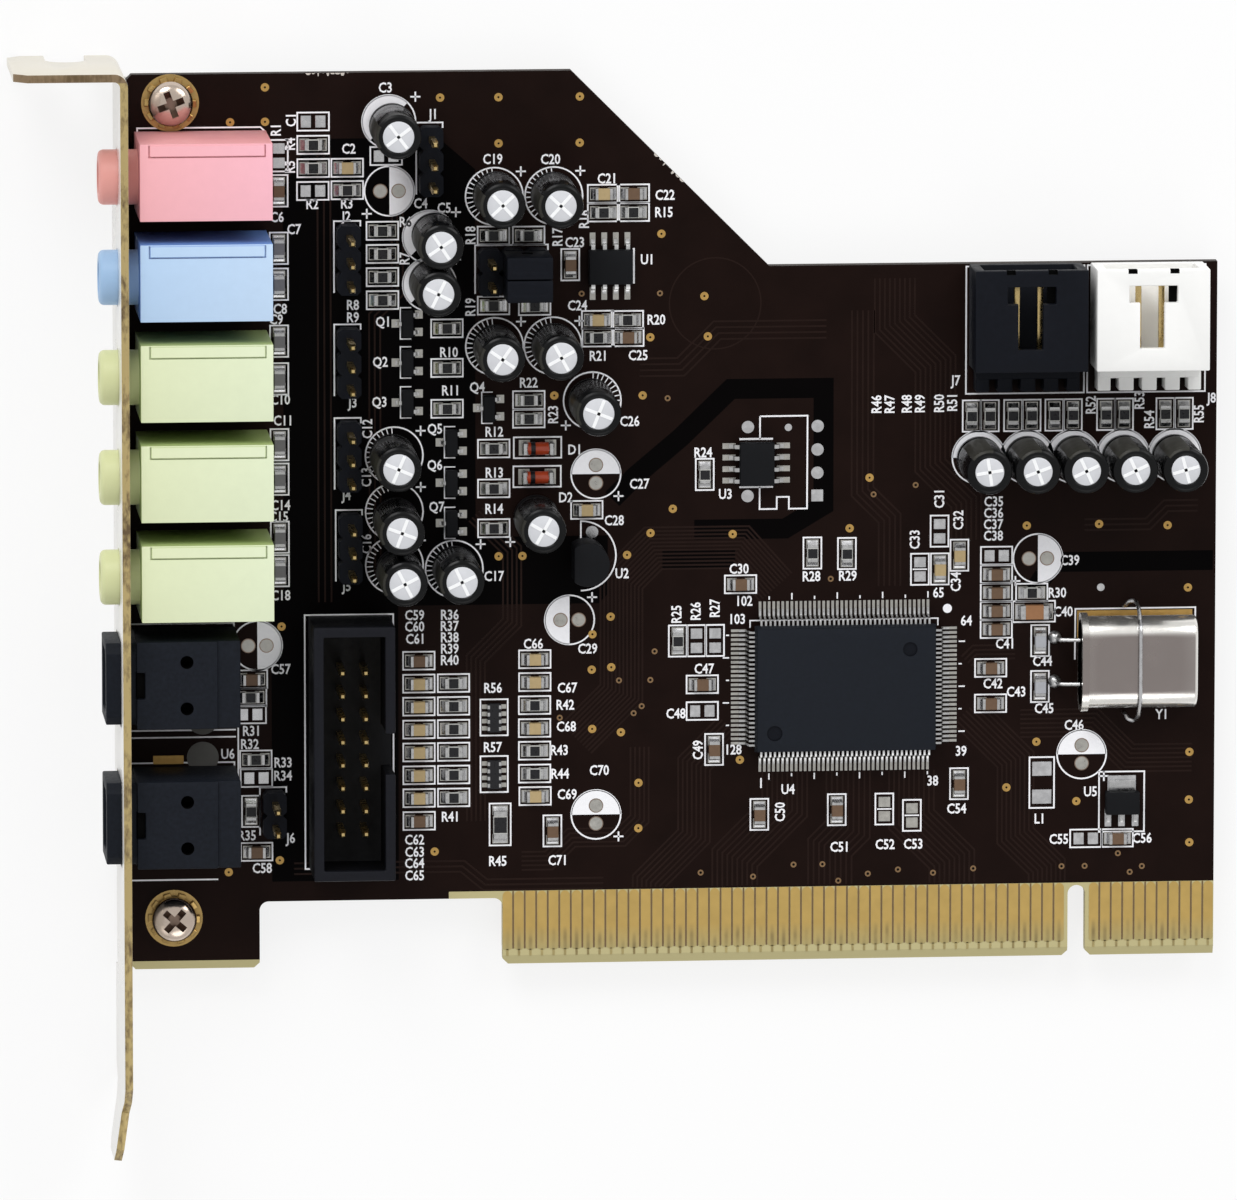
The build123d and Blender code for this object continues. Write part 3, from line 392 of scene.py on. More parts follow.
# Shapes
class Shape:
    """A mesh in card millimetres that becomes one piece."""

    def __init__(self, *materials):
        self.bm = bmesh.new()
        self.materials = materials

    def verts(self, points):
        return [self.bm.verts.new(p) for p in points]

    def fill(self, material, *faces):
        for corners in faces:
            self.bm.faces.new(corners).material_index = material

    def skin(self, rings, material, around=True):
        # Faces from each ring of corners to the next; a ring of one corner is a tip
        for lower, upper in zip(rings, rings[1:]):
            count = max(len(lower), len(upper))
            for n in range(count if around else count - 1):
                steps = ((lower, n), (lower, n + 1), (upper, n + 1), (upper, n))
                corners = dict.fromkeys(ring[k % len(ring)] for ring, k in steps)
                self.fill(material, list(corners))

    def tube(self, rings, material=0):
        # Skin over rings of points, closed at both ends
        rings = [self.verts(ring) for ring in rings]
        self.skin(rings, material)
        self.fill(material, rings[0], rings[-1])

    def prism(self, outline, bottom, top, material=0, place=Matrix()):
        # Outline of (x, y) points, drawn up from bottom to top and then put in place
        self.tube([[place @ Vector((x, y, z)) for x, y in outline] for z in (bottom, top)], material)

    def block(self, low, high, material=0, edge=0.0, place=Matrix()):
        # Box, with its edges taken off where an edge is given
        box = Shape()
        box.prism(rectangle(low, high), low[2], high[2], material, place)
        if edge:
            most = min(EDGE_SHARE * (b - a) for a, b in zip(low, high))
            bevel(box.bm, box.bm.edges[:], min(edge, most), 1)
        self.take(box.bm)

    def block_from(self, at, corners, material=0, edge=0.0):
        # Block between two corners measured from a place
        self.block(*(at + Vector(corner) for corner in corners), material, edge)

    def turned(self, profile, place, material=0, count=32, start=0.0, sweep=math.tau):
        # Profile of (radius, height) points turned about the local z axis
        rings = []
        for radius, height in profile:
            points = arc((0, 0), radius, count, start, sweep) if radius else [(0, 0)]
            rings.append(self.verts([place @ Vector((x, y, height)) for x, y in points]))
        whole = sweep == math.tau
        self.skin(rings, material, whole)
        if not whole:
            self.fill(material, *([ring[n] for ring in rings] for n in (0, -1)))

    def disc(self, centre, radius, bottom, top, material=0, count=24):
        self.prism(arc(centre, radius, count), bottom, top, material)

    def ring(self, centre, outer, inner, bottom, top, material=0, count=24):
        profile = [(inner, bottom), (outer, bottom), (outer, top), (inner, top), (inner, bottom)]
        self.turned(profile, Matrix.Translation((*centre, 0)), material, count)

    def line(self, points, width, bottom, top, material=0, closed=False, shift=0.0):
        # Flat strip with mitred corners along points in the plane of the board
        path = [Vector(p) for p in points]
        count = len(path)
        rings = []
        for n, point in enumerate(path):
            before = path[n - 1] if n or closed else None
            after = path[(n + 1) % count] if n < count - 1 or closed else None
            ways = [(b - a).normalized() for a, b in ((before, point), (point, after)) if a and b]
            normals = [Vector((-w.y, w.x)) for w in ways]
            mitre = sum(normals, Vector((0, 0))).normalized()
            mitre /= max(0.4, mitre.dot(normals[0]))
            left, right = (point + mitre * (shift + half) for half in (width / 2, -width / 2))
            section = ((left, bottom), (left, top), (right, top), (right, bottom))
            rings.append(self.verts([(*p, z) for p, z in section]))
        if closed:
            self.skin([*rings, rings[0]], material)
        else:
            self.skin(rings, material)
            self.fill(material, rings[0], rings[-1])

    def wire(self, points, radius):
        # Round wire along points in space, with its bends rounded
        path = rounded(points)
        rings = []
        side = None
        for n, point in enumerate(path):
            way = (path[min(n + 1, len(path) - 1)] - path[max(n - 1, 0)]).normalized()
            side = way.orthogonal() if side is None else side - way * side.dot(way)
            side.normalize()
            other = way.cross(side)
            rings.append([point + side * c + other * s for c, s in arc((0, 0), radius, WIRE_SIDES)])
        self.tube(rings)

    def letters(self, words, centre, turn=0.0):
        curve = bpy.data.curves.new("letters", "FONT")
        curve.body = words
        curve.size = MARK_SIZE
        curve.resolution_u = 2
        curve.offset = LETTER_WEIGHT
        curve.extrude = (PRINT_TOP + SINK) / 2
        carrier = bpy.data.objects.new("letters", curve)
        mesh = bpy.data.meshes.new_from_object(carrier)
        spans = [[v.co[axis] for v in mesh.vertices] for axis in (0, 1)]
        to_middle = Matrix.Translation((*(-(min(span) + max(span)) / 2 for span in spans), 0))
        place = Matrix.Translation((*centre, (PRINT_TOP - SINK) / 2)) @ turn_z(math.radians(turn))
        mesh.transform(place @ Matrix.Diagonal((LETTER_WIDTH, 1, 1, 1)) @ to_middle)
        self.bm.from_mesh(mesh)
        bpy.data.meshes.remove(mesh)
        bpy.data.objects.remove(carrier)
        bpy.data.curves.remove(curve)

    def copy_node(self, node, edge, segments=2, seams=(), rim=None):
        # Solid of the frame with its edges rounded, but for those in a seam with another solid.
        # A rim is a nozzle's end along x, rounded more: where it ends, its axis, least radius and rounding
        made = welded(node)
        if rim:
            end, axis, least, rounding = rim
            outer = {v for v in made.verts if v.co.x < end and (v.co.yz - axis).length > least}
            bevel(made, [e for e in made.edges if all(v in outer for v in e.verts)], rounding, 4)
        sharp = [e for e in made.edges if len(e.link_faces) == 2 and e.calc_face_angle() > ROUND_ANGLE]
        bevel(made, [e for e in sharp if not in_seam(e, seams)], edge, segments)
        self.take(made)

    def take(self, other):
        mesh = bpy.data.meshes.new("taken")
        other.to_mesh(mesh)
        other.free()
        self.bm.from_mesh(mesh)
        bpy.data.meshes.remove(mesh)

    def to_object(self, name):
        mesh = bpy.data.meshes.new(name)
        self.bm.to_mesh(mesh)
        self.bm.free()
        for material in self.materials:
            mesh.materials.append(material)
        made = bpy.data.objects.new(name, mesh)
        bpy.context.collection.objects.link(made)
        return made

    def cut(self, cutter):
        # Takes another closed shape away from this one
        for shape in (self, cutter):
            bmesh.ops.recalc_face_normals(shape.bm, faces=shape.bm.faces)
        target, tool = self.to_object("cut"), cutter.to_object("cut")
        modifier = target.modifiers.new("cut", "BOOLEAN")
        modifier.object = tool
        modifier.solver = "EXACT"
        modifier.material_mode = "TRANSFER"
        bpy.context.view_layer.update()
        shown = target.evaluated_get(bpy.context.evaluated_depsgraph_get())
        mesh = bpy.data.meshes.new_from_object(shown)
        self.bm = bmesh.new()
        self.bm.from_mesh(mesh)
        self.materials = tuple(mesh.materials)
        for made in (target, tool):
            bpy.data.objects.remove(made)

    def piece(self, name, *nodes, slot=None):
        # Turns the shape into an object that rides with the card, and hides these solids in its place
        bmesh.ops.recalc_face_normals(self.bm, faces=self.bm.faces)
        self.bm.transform(TO_ROW)
        for face in self.bm.faces:
            face.smooth = True
        for edge in self.bm.edges:
            edge.smooth = len(edge.link_faces) == 2 and edge.calc_face_angle() < SHADE_ANGLE
        made = self.to_object(name)
        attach(made, "root")
        if nodes:
            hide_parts(*nodes)


def rounded(points):
    # Path with each inner corner replaced by a short curve
    points = [Vector(p) for p in points]
    path = [points[0]]
    for before, corner, after in zip(points, points[1:], points[2:]):
        arms = [p - corner for p in (before, after)]
        start, end = (corner + arm * min(0.5, BEND_REACH / arm.length) for arm in arms)
        for n in range(BEND_STEPS + 1):
            t = n / BEND_STEPS
            path.append(start * (1 - t) ** 2 + corner * 2 * t * (1 - t) + end * t**2)
    return [*path, points[-1]]


def bevel(made, edges, offset, segments):
    # Rounds edges; the new faces take the material of those beside them
    look = {"segments": segments, "profile": 0.5, "material": -1}
    bmesh.ops.bevel(made, geom=edges, offset=offset, affect="EDGES", clamp_overlap=True, **look)


def in_seam(edge, seams):
    return any(all(abs(v.co[axis] - at) < SEAM_ROOM for v in edge.verts) for axis, at in seams)


def welded(node):
    # Solids of a node in card millimetres, with their facets joined
    made = bmesh.new()
    made.from_mesh(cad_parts[node].data)
    made.transform(TO_CARD)
    bmesh.ops.remove_doubles(made, verts=made.verts, dist=WELD_ROOM)
    bmesh.ops.dissolve_limit(made, angle_limit=FLAT_ANGLE, verts=made.verts, edges=made.edges)
    return made


def islands(node):
    # Lowest and highest corners of each solid in a node, from the connector edge upwards
    made = welded(node)
    left = set(made.verts)
    boxes = []
    while left:
        queue = [left.pop()]
        places = []
        while queue:
            vert = queue.pop()
            places.append(vert.co)
            for edge in vert.link_edges:
                other = edge.other_vert(vert)
                if other in left:
                    left.remove(other)
                    queue.append(other)
        boxes.append(tuple(Vector(pick(p[a] for p in places) for a in range(3)) for pick in (min, max)))
    made.free()
    return sorted(boxes, key=lambda box: (round(box[0].y, 2), round(box[0].x, 2)))


def card_box(node):
    low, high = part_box(node)
    return TO_CARD @ low, TO_CARD @ high


def middle_of(box):
    return (box[0] + box[1]) / 2


def upper_edge(box):
    # Middle of the upper edge of a box's top
    return Vector((middle_of(box).x, *box[1].yz))


def dress(name, node, material, edge, slot):
    shape = Shape(material)
    shape.copy_node(node, edge)
    shape.piece(name, node, slot=slot)


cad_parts["board"].data.materials.clear()
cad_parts["board"].data.materials.append(BOARD)

# Bracket: one sheet, left sharp where its solids meet
RAIL_LEAST = 5.0
strip_boxes = islands("bracket_strips")
rails = [box for box in strip_boxes if box[1].y - box[0].y > RAIL_LEAST]
notch_box = next(box for box in strip_boxes if box[1].y - box[0].y < RAIL_LEAST)
seams = [(1, rails[0][0].y), (1, rails[0][1].y), (0, notch_box[0].x), (0, notch_box[1].x)]
seams += [(2, min(box[1].z for box in rails)), (2, max(box[0].z for box in rails))]
sheet = Shape(BRACKET)
for node in ("bracket", "bracket_strips"):
    sheet.copy_node(node, SMALL_EDGE, seams=seams)
sheet.piece("bracket_sheet", "bracket", "bracket_strips", slot="bracket_metal")

# Jacks: rounded housing with a raised lid strip along its upper edge, set in a narrow seam
JACK_LENGTH = 14.35
JACK_EDGE = 0.18
LID_WIDTH = 1.25
LID_RAISE = 0.12
LID_INSET = 0.12
LID_ENDS = (1.05, 0.85)
SEAM_WIDTH = 0.12
SEAM_DEPTH = 0.22
NOZZLE_AXIS = 6.0
NOZZLE_RIM = (2.5, 0.6)
jack_looks = {
    "mic_jack": (PINK, "pink_plastic"),
    "line_in_jack": (BLUE, "blue_plastic"),
    "front_out_jack": (GREEN, "green_plastic"),
    "rear_out_jack": (GREEN, "green_plastic"),
    "bass_out_jack": (GREEN, "green_plastic"),
}
for node, (material, slot) in jack_looks.items():
    low, high = card_box(node)
    jack = Shape(material)
    axis = Vector(((low.y + high.y) / 2, NOZZLE_AXIS))
    jack.copy_node(node, JACK_EDGE, rim=(low.x + SEAM_ROOM, axis, *NOZZLE_RIM))
    left, right = high.x - JACK_LENGTH + LID_ENDS[0], high.x - LID_ENDS[1]
    lower, upper = high.y - LID_WIDTH - LID_INSET, high.y - LID_INSET
    bed = high.z - SEAM_DEPTH
    seam = Shape(material)
    seam.block((left - SEAM_WIDTH, lower - SEAM_WIDTH, bed), (right + SEAM_WIDTH, upper, high.z + OVER))
    jack.cut(seam)
    jack.block((left, lower, bed - SINK), (right, upper, high.z + LID_RAISE), edge=FINE_EDGE)
    jack.piece(node + "_body", node, slot=slot)
    springs = Shape(TIN)
    for a, b in islands(node + "_springs"):
        springs.block(a, b, edge=FINE_EDGE)
    springs.piece(node + "_contacts", node + "_springs", slot="tin")

# Optical sockets: rounded housing with two holes and a latch recess in its top, both painted black inside as
# shade
HOLE_RADIUS = 0.72
HOLE_DEPTH = 2.2
HOLE_X = 5.75
HOLE_SPREAD = 2.55
LATCH = ((0.34, -1.42, -1.3), (1.18, 1.42, -0.7))
OPTICAL_NAMES = ("optical_in", "optical_out")
for name in OPTICAL_NAMES:
    low, high = card_box(name + "_socket")
    middle = (low.y + high.y) / 2
    housing = Shape(OPTICAL)
    housing.copy_node(name + "_socket", LARGE_EDGE)
    holes = Shape(HOLE_SHADE)
    for side in (1, -1):
        holes.disc((HOLE_X, middle + side * HOLE_SPREAD), HOLE_RADIUS, high.z - HOLE_DEPTH, high.z + OVER)
    housing.cut(holes)
    # Painted shade: a black block in the latch recess
    housing.block_from(Vector((0, middle, high.z)), LATCH, 1)
    housing.piece(name + "_housing", name + "_socket", slot="black_plastic")
    dress(name + "_light", name + "_module", LENS, SMALL_EDGE, "module")

# Header pins with pointed ends
PIN_TIP = 0.35
dress("box_header_shroud", "box_header", SHROUD, LARGE_EDGE, "black_plastic")
pin_boxes = []
for node in ("header_pins", "box_header_pins"):
    pins = Shape(GOLD)
    for low, high in islands(node):
        pin_boxes.append((low, high))
        centre = middle_of((low, high))
        half = (high.x - low.x) / 2
        steps = ((half, low.z), (half, high.z - PIN_TIP), (half / 2, high.z))
        pins.tube([[(centre.x + s * w, centre.y + t * w, z) for s, t in SQUARE] for w, z in steps])
    pins.piece(node + "_posts", node, slot="gold_pin")

# Header bases: one eight-sided cell for each pin
PITCH = 2.54
CELL_CUT = 0.42
HEADER_NODES = [f"speaker_header_{n}" for n in range(1, 6)] + ["digital_header", "mode_header"]
near, far = CELL_CUT, PITCH - CELL_CUT
CELL = [
    (near, 0), (far, 0), (PITCH, near), (PITCH, far),
    (far, PITCH), (near, PITCH), (0, far), (0, near),
]
for node in HEADER_NODES:
    low, high = card_box(node)
    base = Shape(BLACK)
    for column in range(round((high.x - low.x) / PITCH)):
        for row in range(round((high.y - low.y) / PITCH)):
            x, y = low.x + PITCH * column, low.y + PITCH * row
            base.prism([(x + a, y + b) for a, b in CELL], low.z, high.z)
    base.piece(node + "_base", node, slot="black_plastic")

# Jumper caps: closed tops, and a window in the upper one's side that shows its contact, its walls painted
# black as shade.
# Covers are measured from the middle of a cap's top, the window and its contact from the top's upper edge
CAP_COVER = ((-1.8, -0.4, -0.51), (1.8, 0.4, -0.03))
WINDOW = ((-0.6, -0.35, -4.6), (0.6, OVER, -3.3))
CAP_CONTACT = ((-0.2, -0.37, -4.4), (0.2, -0.2, -3.5))
caps = Shape(BLACK)
caps.copy_node("jumper_caps", SHELL_EDGE)
cap_boxes = islands("jumper_caps")
at = upper_edge(cap_boxes[-1])
window = Shape(HOLE_SHADE)
window.block_from(at, WINDOW)
caps.cut(window)
caps.materials += (GOLD,)
caps.block_from(at, CAP_CONTACT, len(caps.materials) - 1, 0.05)
for low, high in cap_boxes:
    x, y, _ = middle_of((low, high))
    caps.block_from(Vector((x, y, high.z)), CAP_COVER)
caps.piece("jumper_cap_pair", "jumper_caps", slot="black_plastic")

# Internal audio sockets: two notches in the rim of the mouth with their walls painted black as shade, a wider
# stem, a pocket painted dark as shade and a closed comb.
# All are measured from the middle of the socket's upper edge, but the comb's heights from the board
NOTCHES = [((x - 0.5, -0.45, -0.8), (x + 0.5, OVER, OVER)) for x in (2.3, -2.3)]
STEM = ((-1.5, -8.7, -1.5), (-1.2, -2.5, OVER))
POCKET = ((1.75, -3.75, -1.2), (2.7, -1.75, -1.08))
COMB = ((-5.6, -12.4, 0.05), (5.6, -11.1, 3.06))
socket_looks = {"cd_socket": (BLACK, "black_plastic"), "aux_socket": (WHITE, "white_plastic")}
for node, (material, slot) in socket_looks.items():
    at = upper_edge(card_box(node))
    shroud = Shape(material)
    shroud.copy_node(node, SHELL_EDGE)
    stem = Shape(material)
    stem.block_from(at, STEM)
    shroud.cut(stem)
    notches = Shape(HOLE_SHADE)
    for notch in NOTCHES:
        notches.block_from(at, notch)
    shroud.cut(notches)
    # Painted shade: a thin black block in the pocket
    shroud.block_from(at, POCKET, shroud.materials.index(HOLE_SHADE))
    shroud.block_from(Vector((at.x, at.y, 0)), COMB, edge=SMALL_EDGE)
    shroud.piece(node + "_shroud", node, slot=slot)
    dress(node + "_posts", node + "_pins", GOLD, SMALL_EDGE, "gold_pin")

# Pads of all parts, by finish
pads = Shape(PAD, SOLDER, RECESS, PEG)
PAD_TIN, PAD_SOLDER, PAD_RECESS, PAD_PEG = range(4)


def pad(low, high, finish=PAD_TIN, top=PAD_TOP, edge=0.0):
    pads.block((*low, -SINK), (*high, top), finish, edge)


def gull(shape, start, outward, width, reach, thickness, seam, material=0):
    # Lead bent twice, from the seam of a package down to its pad
    shoulder, heel, t = 0.28 * reach, 0.58 * reach, thickness
    side_view = [
        (-0.1, seam + t / 2), (shoulder, seam + t / 2), (shoulder + t, seam),
        (heel, t * 1.35), (heel + t * 0.6, t), (reach, t),
        (reach, 0), (heel, 0), (heel - t, t * 0.6),
        (shoulder - t * 0.2, seam - t / 2), (-0.1, seam - t / 2),
    ]
    (x, y), (across, up) = start, outward
    place = Matrix(((across, 0, up, x), (up, 0, -across, y), (0, 1, 0, PAD_TOP), (0, 0, 0, 1)))
    shape.prism(side_view, -width / 2, width / 2, material, place)


def rows_of_leads(box, pitch, counts):
    # Place and direction of each lead round a package
    centre = middle_of(box)
    half = (box[1] - box[0]) / 2
    for outward in ((1, 0), (-1, 0), (0, 1), (0, -1)):
        count = counts[abs(outward[0])]
        for n in range(count):
            step = pitch * (n - (count - 1) / 2)
            x = centre.x + outward[0] * half.x - outward[1] * step
            y = centre.y + outward[1] * half.y + outward[0] * step
            yield (x, y), outward


def outwards(start, outward, reaches):
    return [(start[0] + outward[0] * r, start[1] + outward[1] * r) for r in reaches]


def fit_leads(shape, rows, lead, pad_reach, pad_width):
    for start, outward in rows:
        gull(shape, start, outward, *lead)
        pads.line(outwards(start, outward, pad_reach), pad_width, *PLATED)


# Controller: leads on four sides, and a body with two round marks; leads by width, reach, thickness and seam
chip_box = card_box("audio_controller")
chip_rows = list(rows_of_leads(chip_box, 0.5, (38, 26)))
CHIP_LEAD = (0.22, 1.6, 0.16, 1.6)
DIMPLES = ((70.6, 25.75, 0.85), (85.5, 34.9, 0.8))
DIMPLE_DEPTH = 0.2
leads = Shape(TIN)
fit_leads(leads, chip_rows, CHIP_LEAD, (0.75, 2.45), 0.29)
leads.piece("controller_leads", "audio_controller_leads", slot="tin")
controller = Shape(PACKAGE)
controller.copy_node("audio_controller", SMALL_EDGE)
# Painted shade: the dimples are cut with a darker black than the body, so their hollows show darker
dimples = Shape(BLACK)
for x, y, radius in DIMPLES:
    dimples.disc((x, y), radius, chip_box[1].z - DIMPLE_DEPTH, chip_box[1].z + OVER, count=32)
controller.cut(dimples)
controller.piece("controller_body", "audio_controller", slot="package")

# Amplifier and memory, with four leads on two sides
SMALL_LEAD = (0.42, 1.05, 0.2, 0.85)
small = Shape(TIN)
for node, counts in (("amplifier", (4, 0)), ("memory", (0, 4))):
    fit_leads(small, rows_of_leads(card_box(node), 1.27, counts), SMALL_LEAD, (0.3, 1.75), 0.62)
    dress(node + "_body", node, RESIN, FINE_EDGE, "package")
small.piece("small_package_feet", "small_package_leads", slot="tin")

# Transistors with one lead towards the bracket and two away from it
LEG = (0.42, 0.65, 0.14, 0.55)
LEG_STEP = 0.96
BODY_LOW = 0.12
LEG_PAD_OUT = 0.63
LEG_PAD_HALF = (0.42, 0.45)
bodies = Shape(RESIN, TIN)
transistor_boxes = islands("transistors")
for low, high in transistor_boxes:
    bodies.block((low.x, low.y, BODY_LOW), high, edge=SMALL_EDGE)
    middle = (low.y + high.y) / 2
    for x, way, y in ((low.x, -1, middle), (high.x, 1, middle + LEG_STEP), (high.x, 1, middle - LEG_STEP)):
        gull(bodies, (x, y), (way, 0), *LEG, material=1)
        x += way * LEG_PAD_OUT
        w, h = LEG_PAD_HALF
        pad((x - w, y - h), (x + w, y + h))
bodies.piece("transistor_bodies", "transistors", slot="package")

# Regulators
FOOT_SOLDER = Vector((0.12, 0.5))
LEG_RADIUS = 0.24
dress("power_regulator_body", "power_regulator", RESIN, SMALL_EDGE, "package")
dress("power_regulator_feet", "power_regulator_leads", TIN, 0.06, "tin")
for low, high in islands("power_regulator_leads"):
    pad(low.xy - FOOT_SOLDER, high.xy + FOOT_SOLDER, PAD_SOLDER, 0.14, FINE_EDGE)
dress("reference_regulator_body", "reference_regulator", RESIN, 0.12, "package")
leg_boxes = islands("reference_regulator_legs")
legs = Shape(TIN)
for low, high in leg_boxes:
    x, y, _ = middle_of((low, high))
    legs.wire([(x, y, LEAD_END), (x, y, high.z + 0.1)], LEG_RADIUS)
legs.piece("reference_regulator_wires", "reference_regulator_legs", slot="tin")

# Crystal: drawn can with rounded ends and a base lip
LIP = 0.38
LIP_LENGTH = 0.75
LIP_FLOOR = 0.03
CAN_EDGE = 0.35
crystal_low, crystal_high = card_box("crystal")
can = Shape(CAN)
can.copy_node("crystal", CAN_EDGE, segments=3)
radius = (crystal_high.z - crystal_low.z) / 2
reach = (crystal_high.y - crystal_low.y) / 2 - radius
outline = arc((reach, 0), radius + LIP, 16, -math.pi / 2, math.pi)
outline += [(-y, -z) for y, z in outline]
outline = [(y, max(z, -radius + LIP_FLOOR)) for y, z in outline]
lip_place = Matrix((
    (0, 0, 1, crystal_low.x),
    (1, 0, 0, (crystal_low.y + crystal_high.y) / 2),
    (0, 1, 0, radius),
    (0, 0, 0, 1),
))
can.prism(outline, 0, LIP_LENGTH, place=lip_place)
can.piece("crystal_can", "crystal", slot="can_metal")

# Crystal leads, each bent down into a blob of solder
CRYSTAL_WIRE = 0.22
CRYSTAL_FOOT = 0.2
BLOB = [(0, 0), (0.75, 0), (0.66, 0.22), (0.45, 0.45), (0.2, 0.6), (0, 0.65)]
wires = Shape(TIN)
crystal_feet = []
for low, high in islands("crystal_leads"):
    x, y, z = low.x + CRYSTAL_FOOT, (low.y + high.y) / 2, high.z - 0.2
    wires.wire([(crystal_low.x + 0.1, y, z), (low.x + 0.5, y, z - 0.3), (x, y, LEAD_END)], CRYSTAL_WIRE)
    wires.turned(BLOB, Matrix.Translation((x, y, 0)), 0, 24)
    crystal_feet.append(Vector((x, y)))
wires.piece("crystal_wires", "crystal_leads", slot="tin")

# Strap over the crystal: up from each foot, in a loop to the side and across the top
STRAP_RADIUS = 0.23
low, high = card_box("crystal_strap")
x, y, _ = middle_of((low, high))
half = (high.y - low.y) / 2
foot = half - 0.7
arm = [
    (-1.3, foot, LEAD_END), (-1.3, foot, 0.9), (-0.9, half, 1.5), (-0.2, half, 1.7), (0, foot, 3.0),
    (0, 3.9, high.z - STRAP_RADIUS),
]
path = [(x + a, y + b, c) for a, b, c in arm] + [(x + a, y - b, c) for a, b, c in arm[::-1]]
strap = Shape(SOLDER)
strap.wire(path, STRAP_RADIUS)
strap_feet = [Vector(path[0][:2]), Vector(path[-1][:2])]
strap.piece("crystal_strap_wire", "crystal_strap", slot="tin")

# Glass diodes: tinted tube with a dark band between square caps; shares are of the diode's radius
TUBE_END = 0.4
TUBE_SHARE = 0.92
BAND_ENDS = (0.95, 1.45)
BAND_SHARES = (0.5, 0.945)
DIODE_CAP = 0.62
diode_boxes = islands("diodes")
diodes = Shape(GLASS, TIN, GLAZE)
for low, high in diode_boxes:
    centre = middle_of((low, high))
    radius = (high.z - low.z) / 2
    place = Matrix.Translation((low.x, centre.y, centre.z)) @ Matrix.Rotation(math.pi / 2, 4, "Y")
    start, end = TUBE_END, high.x - low.x - TUBE_END
    tube = radius * TUBE_SHARE
    diodes.turned([(0, start), (tube, start), (tube, end), (0, end)], place)
    inner, outer = (radius * share for share in BAND_SHARES)
    start, end = BAND_ENDS
    diodes.turned([(inner, start), (outer, start), (outer, end), (inner, end)], place, 2)
    for a, b in ((low.x, low.x + DIODE_CAP), (high.x - DIODE_CAP, high.x)):
        diodes.block((a, low.y, low.z), (b, high.y, high.z), 1, LARGE_EDGE)
        pad((a - 0.3, low.y - 0.1), (b + 0.3, high.y + 0.1))
diodes.piece("diode_tubes", "diodes", slot="diode_glass")

# Electrolytic capacitors: sleeve with a crimp and a lip, scored top and a pale stripe.
# Those in the row at the free end face another way than the rest
ROW_START = 80.0
STRIPE_SWEEP = math.radians(62)
STRIPE_LOW = 2.1
STRIPE_OUT = 0.012
TOP_SHARES = (0.68, 0.63)
SCORE_LEANS = (math.radians(45), 0.0)
STRIPE_WAYS = (math.pi, math.pi * 0.62)
SCORE_SWING = math.radians(25)
ARM_HALF = 0.18
can_boxes = islands("electrolytic_capacitors")
cans = Shape(SLEEVE, ALUMINIUM, SCORE, STRIPE)
for low, high in can_boxes:
    centre = middle_of((low, high))
    kind = 0 if low.x < ROW_START else 1
    r, tall = (high.x - low.x) / 2, high.z
    place = Matrix.Translation((centre.x, centre.y, 0))
    disc = TOP_SHARES[kind] * r
    side = [
        (0, 0.02), (r - 0.3, 0.02), (r - 0.05, 0.15), (r, 0.4), (r, 1.25), (r - 0.22, 1.65), (r, 2.05),
        (r, tall - 0.5), (r - 0.08, tall - 0.2), (r - 0.3, tall - 0.03), (r - 0.5, tall),
        (disc + 0.1, tall - 0.06), (disc, tall - 0.14),
    ]
    cans.turned(side, place, 0, 40)
    cans.turned([(disc, tall - 0.14), (disc - 0.08, tall - 0.09), (0, tall - 0.08)], place, 1, 40)
    band = [
        (r - 0.2, STRIPE_LOW), (r + STRIPE_OUT, STRIPE_LOW), (r + STRIPE_OUT, tall - 0.45),
        (r - 0.09, tall - 0.15), (r - 0.34, tall - 0.01), (r - 0.5, tall - 0.2),
    ]
    cans.turned(band, place, 3, 10, STRIPE_WAYS[kind] - STRIPE_SWEEP / 2, STRIPE_SWEEP)
    swing = SCORE_LEANS[kind] + SCORE_SWING * math.sin(7 * centre.x + 3 * centre.y)
    end = disc - 0.1
    for turn in (swing, math.pi / 2 + swing):
        cans.block((-end, -ARM_HALF, tall - 0.1), (end, ARM_HALF, tall - 0.04), 2, 0.03, place @ turn_z(turn))
cans.piece("capacitor_cans", "electrolytic_capacitors", slot="sleeve")

# Chip parts: body, wrapped ends, solder at the ends and pads. Bodies are set in along and across, covers
# from the ends and across, and pads reach in under the part, out from it and past its sides
END_SHARE = 0.42
BODY_INSET = (0.1, 0.02)
COVER_INSET = (0.06, 0.1)
CHIP_PAD = (0.55, 0.5, 0.06)


